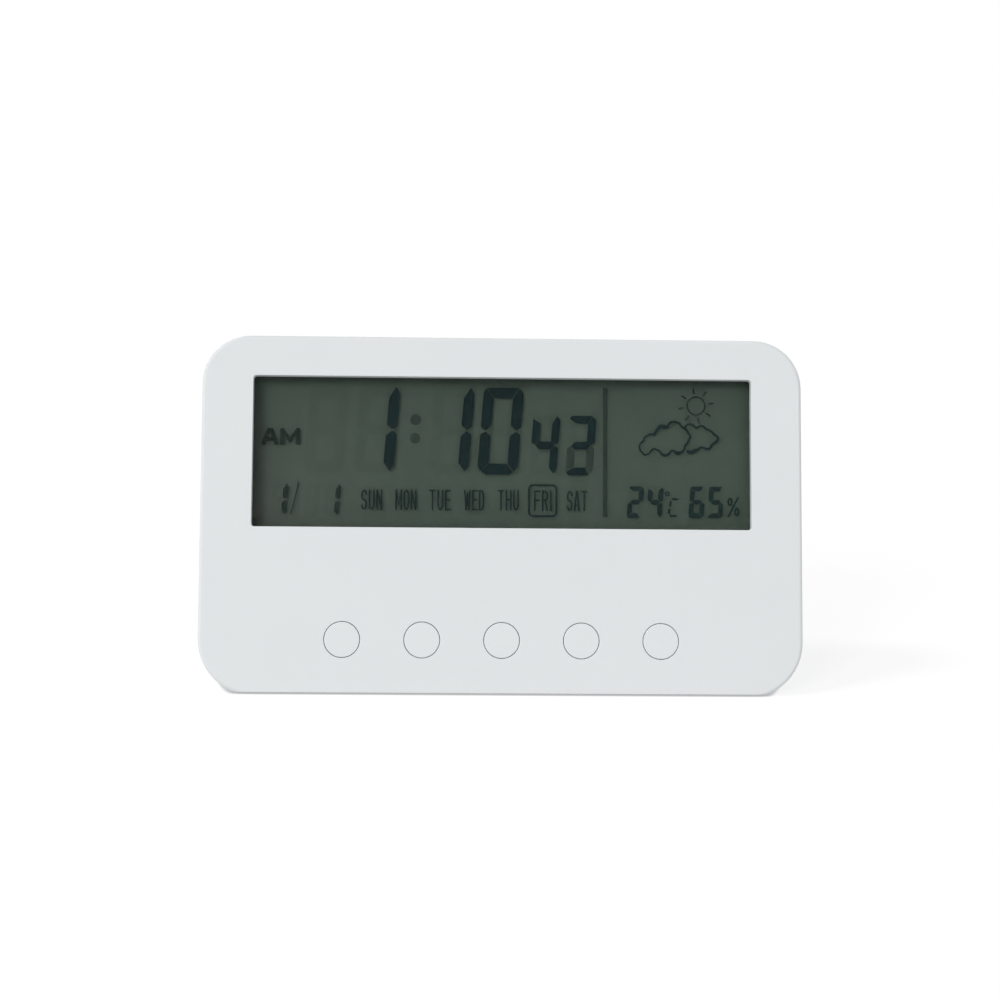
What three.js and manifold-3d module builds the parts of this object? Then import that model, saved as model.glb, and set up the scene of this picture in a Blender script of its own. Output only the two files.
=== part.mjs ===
// Desk digital clock: a wedge-shaped plastic case with a liquid crystal display, five round push
// buttons and a battery bay behind a hinged door. Millimetres, +Z up, the front looks along -Y.
// Most pieces are made in the case frame, which leans back with the face: X runs to the viewer's
// right, Y from the face into the case and Z up the face, from the face's bottom edge.
import * as THREE from "three";
import { mergeVertices } from "three/addons/utils/BufferGeometryUtils.js";
import Module from "manifold-3d";

const wasm = await Module();
wasm.setup();

// Case
const LEAN = THREE.MathUtils.degToRad(14);
const CASE_WIDTH = 135.2;
const CASE_HEIGHT = 80;
const TOP_CORNER_RADIUS = 10.85;
const LOW_CORNER_RADIUS = 12.5;
const OUTLINE_DROP = 0.75;
const BASE_DEPTH = 46;
const TOP_DEPTH = 18;
const WALL = 2;
const FACE_WALL = 2.2;
const FRONT_EDGE_RADIUS = 0.8;
const REAR_EDGE_RADIUS = 3;
const SEAM_DEPTH = 9;
const CLEARANCE = 0.3;
const LIP_THICKNESS = 1;
const LIP_LENGTH = 2.2;
const LIP_ROOT_LENGTH = 2;

// Feet
const FOOT_RADIUS = 4.5;
const FOOT_STAND = 0.5;
const FOOT_RECESS = 1;
const FOOT_INSET_SIDE = 17.5;
const FOOT_INSET_FRONT = 16;
const FOOT_INSET_REAR = 8;

// Display
const BEZEL_SIDE = 11.47;
const BEZEL_TOP = 9.07;
const WINDOW_BOTTOM = 36.84;
const WINDOW_CORNER_RADIUS = 0.65;
const WINDOW_EDGE_RADIUS = 0.12;
const LENS_THICKNESS = 1;
const LENS_MARGIN = 1.9;
const LENS_RIB = 1;
const POLARIZER_THICKNESS = 0.2;
const GLASS_THICKNESS = 0.7;
const GLASS_MARGIN_X = 1.4;
const GLASS_MARGIN_Z = 2.1;
const GLASS_LEDGE = 2.8;
const REFLECTOR_THICKNESS = 0.3;
const LAYER_GAP = 0.1;
const FRAME_WALL = 0.9;
const FRAME_LEDGE = 1.9;
const ZEBRA_INSET = 3.25;
const ZEBRA_HEIGHT = 2;

// Circuit board
const BOARD_MARGIN_SIDE = 9;
const BOARD_MARGIN_TOP = 4.5;
const BOARD_BOTTOM = 7.5;
const BOARD_THICKNESS = 1.6;
const BOARD_DEPTH = 9.2;
const HOOK_X = 30;
const HOOK_WIDTH = 6;
const HOOK_REACH = 0.9;
const HOOK_THICKNESS = 1.2;

// Buttons and their switches
const BUTTON_COUNT = 5;
const BUTTON_PITCH = 17.8;
const BUTTON_HEIGHT = 11.72;
const BUTTON_RADIUS = 3.96;
const BUTTON_GROOVE = 0.12;
const BUTTON_EDGE_RADIUS = 0.2;
const HOLE_EDGE_RADIUS = 0.16;
const BUTTON_TRAVEL = 0.3;
const BUTTON_FLANGE_RADIUS = 4.9;
const BUTTON_FLANGE_THICKNESS = 1;
const BUTTON_STEM_RADIUS = 1.6;
const BUTTON_STEM_LENGTH = 1;
const GUIDE_WALL = 1;
const SWITCH_SIZE = 6;
const SWITCH_BODY_HEIGHT = 3.3;
const PLUNGER_RADIUS = 1.6;
const PLUNGER_LENGTH = 2.3;
const PLUNGER_CLEARANCE = 0.2;

// Screws
const CASE_SCREW_INSET_SIDE = 6.3;
const CASE_SCREW_INSET_TOP = 9;
const CASE_SCREW_LOW_HEIGHT = 18;
const CASE_SCREW_RADIUS = 1.05;
const CASE_SCREW_HEAD_RADIUS = 2.3;
const CASE_SCREW_HEAD_HEIGHT = 1.8;
const CASE_SCREW_BITE = 4.5;
const CASE_BOSS_RADIUS = 2.4;
const WELL_FLOOR = 3.4;
const WELL_NECK = 2.2;
const WELL_WALL = 1;
const WELL_RIB_THICKNESS = 1.2;
const BOARD_SCREW_INSET = 5.5;
const BOARD_SCREW_SPREAD = 18;
const BOARD_SCREW_HEIGHT = 25.5;
const BOARD_SCREW_RADIUS = 0.9;
const BOARD_SCREW_HEAD_RADIUS = 2;
const BOARD_SCREW_HEAD_HEIGHT = 1.2;
const BOARD_SCREW_BITE = 4;
const BOARD_BOSS_RADIUS = 2.4;
const SCREW_CLEARANCE = 0.15;
const SCREW_CROWN_SHARE = 0.7;
const SCREW_SLOT_REACH_SHARE = 0.55;
const SCREW_SLOT_WIDTH_SHARE = 0.28;

// Batteries and their bay, in the rear frame: X as before, Y out of the rear wall, Z up it
const BAY_HEIGHT = 40;
const CELL_RADIUS = 5.25;
const CELL_LENGTH = 44.5;
const CELL_NUB_RADIUS = 1.9;
const CELL_NUB_LENGTH = 1.2;
const CELL_GAP = 0.6;
const SPRING_LENGTH = 4.4;
const SPRING_TURNS = 4;
const SPRING_WIRE_RADIUS = 0.3;
const SPRING_LARGE_RADIUS = 3.4;
const SPRING_SMALL_RADIUS = 2.2;
const CONTACT_THICKNESS = 0.4;
const CONTACT_SIZE = 8.6;
const TAIL_WIDTH = 2;
const TAIL_LENGTH = 2.6;
const BAY_WALL = 1.2;
const DOOR_WIDTH = 57.4;
const DOOR_HEIGHT = 29.4;
const DOOR_THICKNESS = 2;
const DOOR_SEAT = 1.8;
const DOOR_SEAT_MARGIN = 2.5;
const DOOR_BARREL_INSET = 0.05;
const DOOR_PIN_RADIUS = 0.5;
const DOOR_PIN_LENGTH = 1.4;
const DOOR_CORNER_RADIUS = 1;
const DOOR_EDGE_RADIUS = 0.25;
const LATCH_WIDTH = 10;
const LATCH_LENGTH = 8;
const LATCH_SLOT = 0.8;
const GRIP_COUNT = 3;
const GRIP_PITCH = 1.6;
const GRIP_INSET = 2;
const GRIP_LENGTH = 7;
const GRIP_WIDTH = 0.7;
const GRIP_DEPTH = 0.35;
const SCOOP_RADIUS = 5;
const SCOOP_DEPTH = 1.2;

// Sounder and sensors
const GRILLE_INSET = 21.5;
const GRILLE_SLOTS = 5;
const GRILLE_PITCH = 2.6;
const GRILLE_SLOT_LENGTH = 12;
const GRILLE_SLOT_WIDTH = 1.3;
const BUZZER_RADIUS = 9;
const BUZZER_THICKNESS = 3.2;
const BUZZER_RING_WALL = 1;
const BUZZER_EDGE = 0.4;
const BUZZER_PORT_RADIUS = 1;
const BUZZER_PORT_DEPTH = 0.8;
const SENSOR_SIZE = [12, 5.5, 15.5];
const SENSOR_SLOT_DEPTH = 1;
const BLOB_RADIUS = 6.5;
const BLOB_HEIGHT = 1.6;
const CRYSTAL_RADIUS = 1.5;
const CRYSTAL_LENGTH = 8;
const CAPACITOR_RADIUS = 2.5;
const CAPACITOR_HEIGHT = 7;
const CAPACITOR_GROOVE_HEIGHT = 1.2;
const CAPACITOR_GROOVE = 0.3;
const CAPACITOR_X = [-28, -20];
const CRYSTAL_X = 16;
const PARTS_ROW_INSET = 10.5;
const THERMISTOR_RADIUS = 1.1;
const THERMISTOR_LEG_RADIUS = 0.3;
const THERMISTOR_LEG_LENGTH = 4;
const THERMISTOR_INSET = 8.5;
const LEAD_RADIUS = 0.6;
const LEAD_BEND = 5;
const LEAD_BOW = 2.5;
const BATTERY_LEAD_INSET = 24.5;
const BATTERY_LEAD_HEIGHTS = [20, 60];
const BUZZER_LEAD_SPREAD = 3;
const BUZZER_LEAD_HEIGHT = 20;

// How far a joined piece runs into the wall that carries it, and a cut runs past the wall it opens
const BITE = 1;

// Facets
const ROUND = 32;
const SMALL_ROUND = 16;
const CORNER_STEPS = 12;
const SMALL_CORNER_STEPS = 4;
const EDGE_STEPS = 3;
const BEAD_STEPS = 8;
const LEAD_SIDES = 6;
const LEAD_STEPS = 14;
const SPRING_SIDES = 5;
const SPRING_TURN_STEPS = 10;

// Derived case sizes
const rearFoot = new THREE.Vector2(BASE_DEPTH * Math.cos(LEAN), BASE_DEPTH * Math.sin(LEAN));
const REAR_SLOPE = Math.atan2(rearFoot.x - TOP_DEPTH, CASE_HEIGHT - rearFoot.y);
const FAR = 2 * CASE_WIDTH;
const FRONT_END = SEAM_DEPTH - CLEARANCE / 2;
const REAR_START = SEAM_DEPTH + CLEARANCE / 2;

// Derived places on the case
const BOARD_WIDTH = CASE_WIDTH - 2 * BOARD_MARGIN_SIDE;
const BOARD_TOP = CASE_HEIGHT - BOARD_MARGIN_TOP;
const WINDOW_WIDTH = CASE_WIDTH - 2 * BEZEL_SIDE;
const WINDOW_TOP = CASE_HEIGHT - BEZEL_TOP;
const FOOT_X = CASE_WIDTH / 2 - FOOT_INSET_SIDE;
const CASE_SCREW_X = CASE_WIDTH / 2 - CASE_SCREW_INSET_SIDE;
const CASE_SCREW_HEIGHTS = [CASE_SCREW_LOW_HEIGHT, CASE_HEIGHT - CASE_SCREW_INSET_TOP];
const BOARD_SCREW_OUTER = BOARD_WIDTH / 2 - BOARD_SCREW_INSET;
const BOARD_SCREW_X = [-BOARD_SCREW_OUTER, -BOARD_SCREW_SPREAD, BOARD_SCREW_SPREAD, BOARD_SCREW_OUTER];
const GRILLE_X = CASE_WIDTH / 2 - GRILLE_INSET;
const PARTS_ROW_HEIGHT = BOARD_TOP - PARTS_ROW_INSET;
const THERMISTOR_X = -BOARD_WIDTH / 2 + THERMISTOR_INSET;
const BATTERY_LEAD_X = BOARD_WIDTH / 2 - BATTERY_LEAD_INSET;

// Derived display depths, each layer behind the last
const LENS_FRONT = FACE_WALL + CLEARANCE;
const POLARIZER_FRONT = LENS_FRONT + LENS_THICKNESS + LAYER_GAP;
const GLASS_FRONT = POLARIZER_FRONT + POLARIZER_THICKNESS + LAYER_GAP;
const REAR_GLASS_FRONT = GLASS_FRONT + GLASS_THICKNESS + LAYER_GAP;
const REFLECTOR_FRONT = REAR_GLASS_FRONT + GLASS_THICKNESS + LAYER_GAP;
const PAD_FRONT = REFLECTOR_FRONT + REFLECTOR_THICKNESS + LAYER_GAP;
const BOARD_SEAT = BOARD_DEPTH - CLEARANCE;
const BOARD_REAR = BOARD_DEPTH + BOARD_THICKNESS;
const PARTS_SEAT = BOARD_REAR + CLEARANCE;
const GLASS_HALF = WINDOW_WIDTH / 2 + GLASS_MARGIN_X;
const GLASS_BOTTOM = WINDOW_BOTTOM - GLASS_MARGIN_Z;
const GLASS_TOP = WINDOW_TOP + GLASS_MARGIN_Z;
const ZEBRA_HALF = GLASS_HALF - ZEBRA_INSET;

// Derived depths of a button, its switch and its screws
const FLANGE_FRONT = FACE_WALL + CLEARANCE;
const FLANGE_REAR = FLANGE_FRONT + BUTTON_FLANGE_THICKNESS;
const STEM_REAR = FLANGE_REAR + BUTTON_STEM_LENGTH;
const PLUNGER_FRONT = STEM_REAR + CLEARANCE;
const SWITCH_FRONT = BOARD_SEAT - SWITCH_BODY_HEIGHT;
const CASE_SCREW_SEAT = REAR_START + WELL_FLOOR + CLEARANCE;
const BOARD_SCREW_SEAT = BOARD_REAR + CLEARANCE;
const HOOK_START = BOARD_REAR + CLEARANCE;
const HOOK_END = HOOK_START + HOOK_THICKNESS;
const HOOK_ROOF = CASE_HEIGHT - WALL - CLEARANCE;

// Derived battery bay sizes, out of the rear wall's outer face
const DOOR_FLOOR = DOOR_THICKNESS + CLEARANCE;
const CELL_DEPTH = DOOR_FLOOR + CLEARANCE + CELL_RADIUS;
const CELL_OFFSET = CELL_RADIUS + CELL_GAP / 2;
const BAY_FLOOR = CELL_DEPTH + CELL_RADIUS + CLEARANCE;
const BAY_HALF_HEIGHT = 2 * CELL_RADIUS + CELL_GAP / 2 + CLEARANCE;
const CELL_ROOM = CELL_LENGTH + SPRING_LENGTH + 3 * CLEARANCE;
const BAY_HALF_LENGTH = CELL_ROOM / 2 + CONTACT_THICKNESS + CLEARANCE;
const RECESS_HALF_WIDTH = DOOR_WIDTH / 2 + CLEARANCE;
const RECESS_HALF_HEIGHT = DOOR_HEIGHT / 2 + CLEARANCE;
const DOOR_AXIS_HEIGHT = -DOOR_HEIGHT / 2 + DOOR_THICKNESS / 2;

// Geometry to solid and back
function solid(geometry, matrix = new THREE.Matrix4()) {
  const bare = geometry.clone().applyMatrix4(matrix);
  bare.deleteAttribute("normal");
  bare.deleteAttribute("uv");
  const merged = mergeVertices(bare, 1e-4);
  const corners = merged.index.array;
  const kept = [];
  for (let i = 0; i < corners.length; i += 3) {
    const [a, b, c] = corners.slice(i, i + 3);
    if (a !== b && b !== c && c !== a) kept.push(a, b, c);
  }
  const vertProperties = merged.attributes.position.array;
  const triVerts = new Uint32Array(kept);
  return new wasm.Manifold(new wasm.Mesh({ numProp: 3, vertProperties, triVerts }));
}

function geometryOf(body) {
  const mesh = body.getMesh();
  const geometry = new THREE.BufferGeometry();
  const places = new THREE.BufferAttribute(new Float32Array(mesh.vertProperties), 3);
  geometry.setAttribute("position", places);
  geometry.setIndex(new THREE.BufferAttribute(new Uint32Array(mesh.triVerts), 1));
  const flat = geometry.toNonIndexed();
  flat.computeVertexNormals();
  return flat;
}

function joined(bodies) {
  return bodies.reduce((sum, body) => sum.add(body));
}

// Simple solids in the frame they are used in
function box(x0, x1, y0, y1, z0, z1) {
  const shape = new THREE.BoxGeometry(x1 - x0, y1 - y0, z1 - z0);
  return solid(shape.translate((x0 + x1) / 2, (y0 + y1) / 2, (z0 + z1) / 2));
}

function rodAlongY(radius, y0, y1, x = 0, z = 0, sides = SMALL_ROUND) {
  const shape = new THREE.CylinderGeometry(radius, radius, y1 - y0, sides);
  return solid(shape.translate(x, (y0 + y1) / 2, z));
}

function rodAlongX(radius, x0, x1, y = 0, z = 0, sides = SMALL_ROUND) {
  const shape = new THREE.CylinderGeometry(radius, radius, x1 - x0, sides).rotateZ(Math.PI / 2);
  return solid(shape.translate((x0 + x1) / 2, y, z));
}

function turnedAlongY(profile, sides = ROUND) {
  const points = profile.map(([radius, depth]) => new THREE.Vector2(radius, depth));
  return solid(new THREE.LatheGeometry(points, sides));
}

// One ring of points round a rounded rectangle in X and Z, at depths given by a function
function roundedRing(halfWidth, z0, z1, radius, steps, depthAt, lowRadius = radius) {
  const quarters = [[1, z1, radius], [-1, z1, radius], [-1, z0, lowRadius], [1, z0, lowRadius]];
  return quarters.flatMap(([side, end, bend], quarter) => {
    const middle = end === z1 ? z1 - bend : z0 + bend;
    const points = [];
    for (let i = 0; i <= steps; i++) {
      const angle = (quarter + i / steps) * (Math.PI / 2);
      const x = side * (halfWidth - bend) + bend * Math.cos(angle);
      const z = middle + bend * Math.sin(angle);
      points.push(new THREE.Vector3(x, depthAt(z), z));
    }
    return points;
  });
}

// The case outline, drawn in by an inset
function caseRing(inset, depthAt) {
  const half = CASE_WIDTH / 2 - inset;
  return roundedRing(half, inset - OUTLINE_DROP, CASE_HEIGHT - inset, TOP_CORNER_RADIUS - inset,
    CORNER_STEPS, depthAt, LOW_CORNER_RADIUS - inset);
}

// A closed skin over rings of equal counts, each behind the last, with a flat cap on each end
function loft(rings) {
  const count = rings[0].length;
  const faces = [];
  for (let r = 0; r + 1 < rings.length; r++) {
    for (let i = 0; i < count; i++) {
      const next = (i + 1) % count;
      faces.push(rings[r][i], rings[r + 1][i], rings[r][next]);
      faces.push(rings[r][next], rings[r + 1][i], rings[r + 1][next]);
    }
  }
  const last = rings[rings.length - 1];
  for (let i = 1; i + 1 < count; i++) {
    faces.push(rings[0][0], rings[0][i], rings[0][i + 1]);
    faces.push(last[0], last[i + 1], last[i]);
  }
  return solid(new THREE.BufferGeometry().setFromPoints(faces));
}

function rearDepth(height) {
  return TOP_DEPTH + (CASE_HEIGHT - height) * Math.tan(REAR_SLOPE);
}

// The space above the base, lifted by a wall or more, in the case frame
const caseTurn = new THREE.Matrix4().makeRotationX(-LEAN);

function aboveBase(lift) {
  const shape = new THREE.BoxGeometry(FAR, FAR, FAR).translate(0, 0, FAR / 2 + lift);
  return solid(shape, caseTurn.clone().invert());
}

function quarterSteps() {
  return Array.from({ length: EDGE_STEPS + 1 }, (_, i) => (i / EDGE_STEPS) * (Math.PI / 2));
}

function caseBody() {
  const front = quarterSteps().map((angle) => {
    const inset = FRONT_EDGE_RADIUS * (1 - Math.sin(angle));
    return caseRing(inset, () => FRONT_EDGE_RADIUS * (1 - Math.cos(angle)));
  });
  const rear = quarterSteps().map((angle) => {
    const inset = REAR_EDGE_RADIUS * (1 - Math.cos(angle));
    const rise = REAR_EDGE_RADIUS * (1 - Math.sin(angle));
    return caseRing(inset, (height) => rearDepth(height) - rise);
  });
  return loft([...front, ...rear]).intersect(aboveBase(0));
}

// The hollow of the case, with walls thicker by a margin
function caseHollow(margin) {
  const rearWall = (WALL + margin) / Math.cos(REAR_SLOPE);
  const front = caseRing(WALL + margin, () => FACE_WALL);
  const rear = caseRing(WALL + margin, (height) => rearDepth(height) - rearWall);
  return loft([front, rear]).intersect(aboveBase(WALL + margin));
}

function slab(y0, y1) {
  return box(-FAR, FAR, y0, y1, -FAR, FAR);
}

// Places of repeated pieces
const buttonPlaces = Array.from({ length: BUTTON_COUNT }, (_, i) => {
  return (i - (BUTTON_COUNT - 1) / 2) * BUTTON_PITCH;
});
const caseScrewPlaces = CASE_SCREW_HEIGHTS.flatMap((z) => [[-CASE_SCREW_X, z], [CASE_SCREW_X, z]]);
const footPlaces = [FOOT_INSET_FRONT, BASE_DEPTH - FOOT_INSET_REAR].flatMap((y) => {
  return [[-FOOT_X, y], [FOOT_X, y]];
});

// Rear frame, at the middle of the battery door on the rear wall's outer face
const rearFrame = new THREE.Matrix4().makeTranslation(0, rearDepth(BAY_HEIGHT), BAY_HEIGHT);
rearFrame.multiply(new THREE.Matrix4().makeRotationX(REAR_SLOPE));

function inCase(body) {
  return solid(geometryOf(body), rearFrame);
}

const caseOuter = caseBody();
const hollow = caseHollow(0);

// A plug along Y with a rounded-rectangle outline and a mouth that flares out by a radius towards -Y
function flaredPlug(halfWidth, z0, z1, corner, flare, length) {
  const ring = (out, y) => roundedRing(halfWidth + out, z0 - out, z1 + out, corner + out,
    SMALL_CORNER_STEPS, () => y);
  const mouth = quarterSteps().map((angle) => {
    return ring(flare * (1 - Math.sin(angle)), flare * (1 - Math.cos(angle)));
  });
  return loft([ring(flare, -BITE), ...mouth, ring(0, length)]);
}

// A round plug along Y, flared in the same way
function flaredRod(radius, flare, length) {
  const mouth = quarterSteps().map((angle) => {
    return [radius + flare * (1 - Math.sin(angle)), flare * (1 - Math.cos(angle))];
  });
  return turnedAlongY([[0, -BITE], [radius + flare, -BITE], ...mouth, [radius, length], [0, length]]);
}

function windowHole() {
  return flaredPlug(WINDOW_WIDTH / 2, WINDOW_BOTTOM, WINDOW_TOP, WINDOW_CORNER_RADIUS,
    WINDOW_EDGE_RADIUS, FACE_WALL + BITE);
}

// Low rib round the display window's lens, on the back of the face
function lensRib() {
  const half = WINDOW_WIDTH / 2 + LENS_MARGIN + CLEARANCE;
  const bottom = WINDOW_BOTTOM - LENS_MARGIN - CLEARANCE;
  const top = WINDOW_TOP + LENS_MARGIN + CLEARANCE;
  const rear = LENS_FRONT + LENS_THICKNESS;
  const outer = box(-half - LENS_RIB, half + LENS_RIB, FACE_WALL - BITE, rear, bottom - LENS_RIB,
    top + LENS_RIB);
  return outer.subtract(box(-half, half, 0, rear + BITE, bottom, top));
}

// Hook on the top wall that holds the board's top edge
function boardHook(x) {
  const x0 = x - HOOK_WIDTH / 2;
  const x1 = x + HOOK_WIDTH / 2;
  const start = FACE_WALL - BITE;
  const root = box(x0, x1, start, FRONT_END, BOARD_TOP + CLEARANCE, CASE_HEIGHT - WALL / 2);
  const stem = box(x0, x1, start, HOOK_END, BOARD_TOP + CLEARANCE, HOOK_ROOF);
  const barb = box(x0, x1, HOOK_START, HOOK_END, BOARD_TOP - HOOK_REACH, HOOK_ROOF);
  return joined([root, stem, barb]);
}

function buttonGuide(x) {
  const radius = BUTTON_FLANGE_RADIUS + CLEARANCE + GUIDE_WALL;
  return rodAlongY(radius, FACE_WALL - BITE, FLANGE_REAR, x, BUTTON_HEIGHT, ROUND);
}

function buttonCuts(x) {
  const room = rodAlongY(BUTTON_FLANGE_RADIUS + CLEARANCE, FACE_WALL, FLANGE_REAR + BITE, x,
    BUTTON_HEIGHT, ROUND);
  const hole = flaredRod(BUTTON_RADIUS + BUTTON_GROOVE, HOLE_EDGE_RADIUS, FACE_WALL + BITE);
  return room.add(hole.translate([x, 0, BUTTON_HEIGHT]));
}

// A screw boss from the face to its end, and the pilot hole down it
function boss(radius, end, x, z) {
  return rodAlongY(radius, FACE_WALL - BITE, end, x, z);
}

function pilotHole(screwRadius, bite, end, x, z) {
  return rodAlongY(screwRadius + SCREW_CLEARANCE, end - bite - CLEARANCE, end + CLEARANCE, x, z);
}

function frontCover() {
  const bosses = [
    ...caseScrewPlaces.map(([x, z]) => boss(CASE_BOSS_RADIUS, FRONT_END, x, z)),
    ...BOARD_SCREW_X.map((x) => boss(BOARD_BOSS_RADIUS, BOARD_SEAT, x, BOARD_SCREW_HEIGHT)),
  ];
  const pilots = [
    ...caseScrewPlaces.map(([x, z]) => pilotHole(CASE_SCREW_RADIUS, CASE_SCREW_BITE, FRONT_END, x, z)),
    ...BOARD_SCREW_X.map((x) => {
      return pilotHole(BOARD_SCREW_RADIUS, BOARD_SCREW_BITE, BOARD_SEAT, x, BOARD_SCREW_HEIGHT);
    }),
  ];
  const hooks = [boardHook(-HOOK_X), boardHook(HOOK_X)];
  const adds = joined([lensRib(), ...hooks, ...bosses, ...buttonPlaces.map(buttonGuide)]);
  const cuts = joined([windowHole(), ...pilots, ...buttonPlaces.map(buttonCuts)]);
  const shell = caseOuter.intersect(slab(-FAR, FRONT_END)).subtract(hollow);
  return shell.add(adds.intersect(caseOuter)).subtract(cuts);
}

// Lip of the rear cover, which stands inside the front cover's walls, notched round the hooks
function rearLip() {
  const inside = caseHollow(CLEARANCE + LIP_THICKNESS);
  const tongue = caseHollow(CLEARANCE).intersect(slab(SEAM_DEPTH - LIP_LENGTH, REAR_START + BITE));
  const root = caseHollow(-WALL / 2).intersect(slab(REAR_START, REAR_START + LIP_ROOT_LENGTH));
  const notches = [-HOOK_X, HOOK_X].map((x) => {
    const half = HOOK_WIDTH / 2 + CLEARANCE;
    return box(x - half, x + half, 0, HOOK_END + CLEARANCE, BOARD_TOP, CASE_HEIGHT - WALL);
  });
  return tongue.add(root).subtract(joined([inside, ...notches]));
}

function slotPlaces() {
  return Array.from({ length: GRILLE_SLOTS }, (_, i) => (i - (GRILLE_SLOTS - 1) / 2) * GRILLE_PITCH);
}

function grilleCuts(x) {
  return slotPlaces().map((z) => box(x - GRILLE_SLOT_LENGTH / 2, x + GRILLE_SLOT_LENGTH / 2,
    -WALL - BITE, BITE, z - GRILLE_SLOT_WIDTH / 2, z + GRILLE_SLOT_WIDTH / 2));
}

function tailSlot(z) {
  const half = TAIL_WIDTH / 2 + CLEARANCE;
  return box(BAY_HALF_LENGTH - BITE, BAY_HALF_LENGTH + BAY_WALL + BITE, -CELL_DEPTH - CONTACT_THICKNESS,
    -CELL_DEPTH + CONTACT_THICKNESS, z - half, z + half);
}

// What the rear wall gains and loses, in the rear frame
function rearWallAdds() {
  const bay = box(-BAY_HALF_LENGTH - BAY_WALL, BAY_HALF_LENGTH + BAY_WALL, -BAY_FLOOR - BAY_WALL, -BITE,
    -BAY_HALF_HEIGHT - BAY_WALL, BAY_HALF_HEIGHT + BAY_WALL);
  const seatX = RECESS_HALF_WIDTH + DOOR_SEAT_MARGIN;
  const seatZ = RECESS_HALF_HEIGHT + DOOR_SEAT_MARGIN;
  const seat = box(-seatX, seatX, -DOOR_FLOOR - DOOR_SEAT, -BITE, -seatZ, seatZ);
  const ring = rodAlongY(BUZZER_RADIUS + CLEARANCE + BUZZER_RING_WALL, -WALL - BUZZER_THICKNESS, -BITE,
    GRILLE_X, 0, ROUND);
  return joined([bay, seat, ring]);
}

function rearWallCuts() {
  const recess = flaredPlug(RECESS_HALF_WIDTH, -RECESS_HALF_HEIGHT, RECESS_HALF_HEIGHT,
    DOOR_CORNER_RADIUS, DOOR_EDGE_RADIUS, DOOR_FLOOR).mirror([0, 1, 0]);
  const bay = box(-BAY_HALF_LENGTH, BAY_HALF_LENGTH, -BAY_FLOOR, BITE, -BAY_HALF_HEIGHT, BAY_HALF_HEIGHT);
  const pinReach = RECESS_HALF_WIDTH + DOOR_PIN_LENGTH;
  const sockets = rodAlongX(DOOR_PIN_RADIUS + SCREW_CLEARANCE, -pinReach, pinReach,
    -DOOR_THICKNESS / 2, DOOR_AXIS_HEIGHT);
  const scoop = rodAlongY(SCOOP_RADIUS, -SCOOP_DEPTH, BITE, 0, RECESS_HALF_HEIGHT, ROUND);
  const buzzerRoom = rodAlongY(BUZZER_RADIUS + CLEARANCE, -FAR, -WALL, GRILLE_X, 0, ROUND);
  const tails = [tailSlot(CELL_OFFSET), tailSlot(-CELL_OFFSET)];
  const grilles = [...grilleCuts(GRILLE_X), ...grilleCuts(-GRILLE_X)];
  return joined([recess, bay, sockets, scoop, buzzerRoom, ...tails, ...grilles]);
}

function screwWell(x, z) {
  const neckEnd = REAR_START + WELL_NECK;
  const wellRadius = CASE_SCREW_HEAD_RADIUS + CLEARANCE;
  const neck = rodAlongY(CASE_BOSS_RADIUS, REAR_START, neckEnd + BITE, x, z);
  const tube = rodAlongY(wellRadius + WELL_WALL, neckEnd, rearDepth(z), x, z);
  const toWall = Math.sign(x) * (CASE_WIDTH / 2 - WALL / 2);
  const rib = box(Math.min(x, toWall), Math.max(x, toWall), neckEnd, rearDepth(z),
    z - WELL_RIB_THICKNESS / 2, z + WELL_RIB_THICKNESS / 2);
  return neck.add(tube).add(rib);
}

function screwWellCuts(x, z) {
  const hole = rodAlongY(CASE_SCREW_RADIUS + SCREW_CLEARANCE, REAR_START - BITE,
    REAR_START + WELL_FLOOR + BITE, x, z);
  const well = rodAlongY(CASE_SCREW_HEAD_RADIUS + CLEARANCE, REAR_START + WELL_FLOOR, FAR, x, z, ROUND);
  return hole.add(well);
}

function footRecess(x, y) {
  const height = FOOT_RECESS + BITE;
  const radius = FOOT_RADIUS + CLEARANCE;
  const shape = new THREE.CylinderGeometry(radius, radius, height, ROUND);
  shape.rotateX(Math.PI / 2).translate(x, y, FOOT_RECESS - height / 2);
  return solid(shape, caseTurn.clone().invert());
}

function rearCover() {
  const shell = caseOuter.intersect(slab(REAR_START, FAR)).subtract(hollow);
  const wells = caseScrewPlaces.map(([x, z]) => screwWell(x, z));
  const adds = joined([inCase(rearWallAdds()), ...wells]).intersect(caseOuter);
  const cuts = joined([inCase(rearWallCuts()), ...caseScrewPlaces.map(([x, z]) => screwWellCuts(x, z)),
    ...footPlaces.map(([x, y]) => footRecess(x, y))]);
  return shell.add(rearLip()).add(adds).subtract(cuts);
}

// Display stack
function lens() {
  const half = WINDOW_WIDTH / 2 + LENS_MARGIN;
  const bottom = WINDOW_BOTTOM - LENS_MARGIN;
  const top = WINDOW_TOP + LENS_MARGIN;
  return box(-half, half, LENS_FRONT, LENS_FRONT + LENS_THICKNESS, bottom, top);
}

function layer(front, thickness, bottom = GLASS_BOTTOM) {
  return box(-GLASS_HALF, GLASS_HALF, front, front + thickness, bottom, GLASS_TOP);
}

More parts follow.
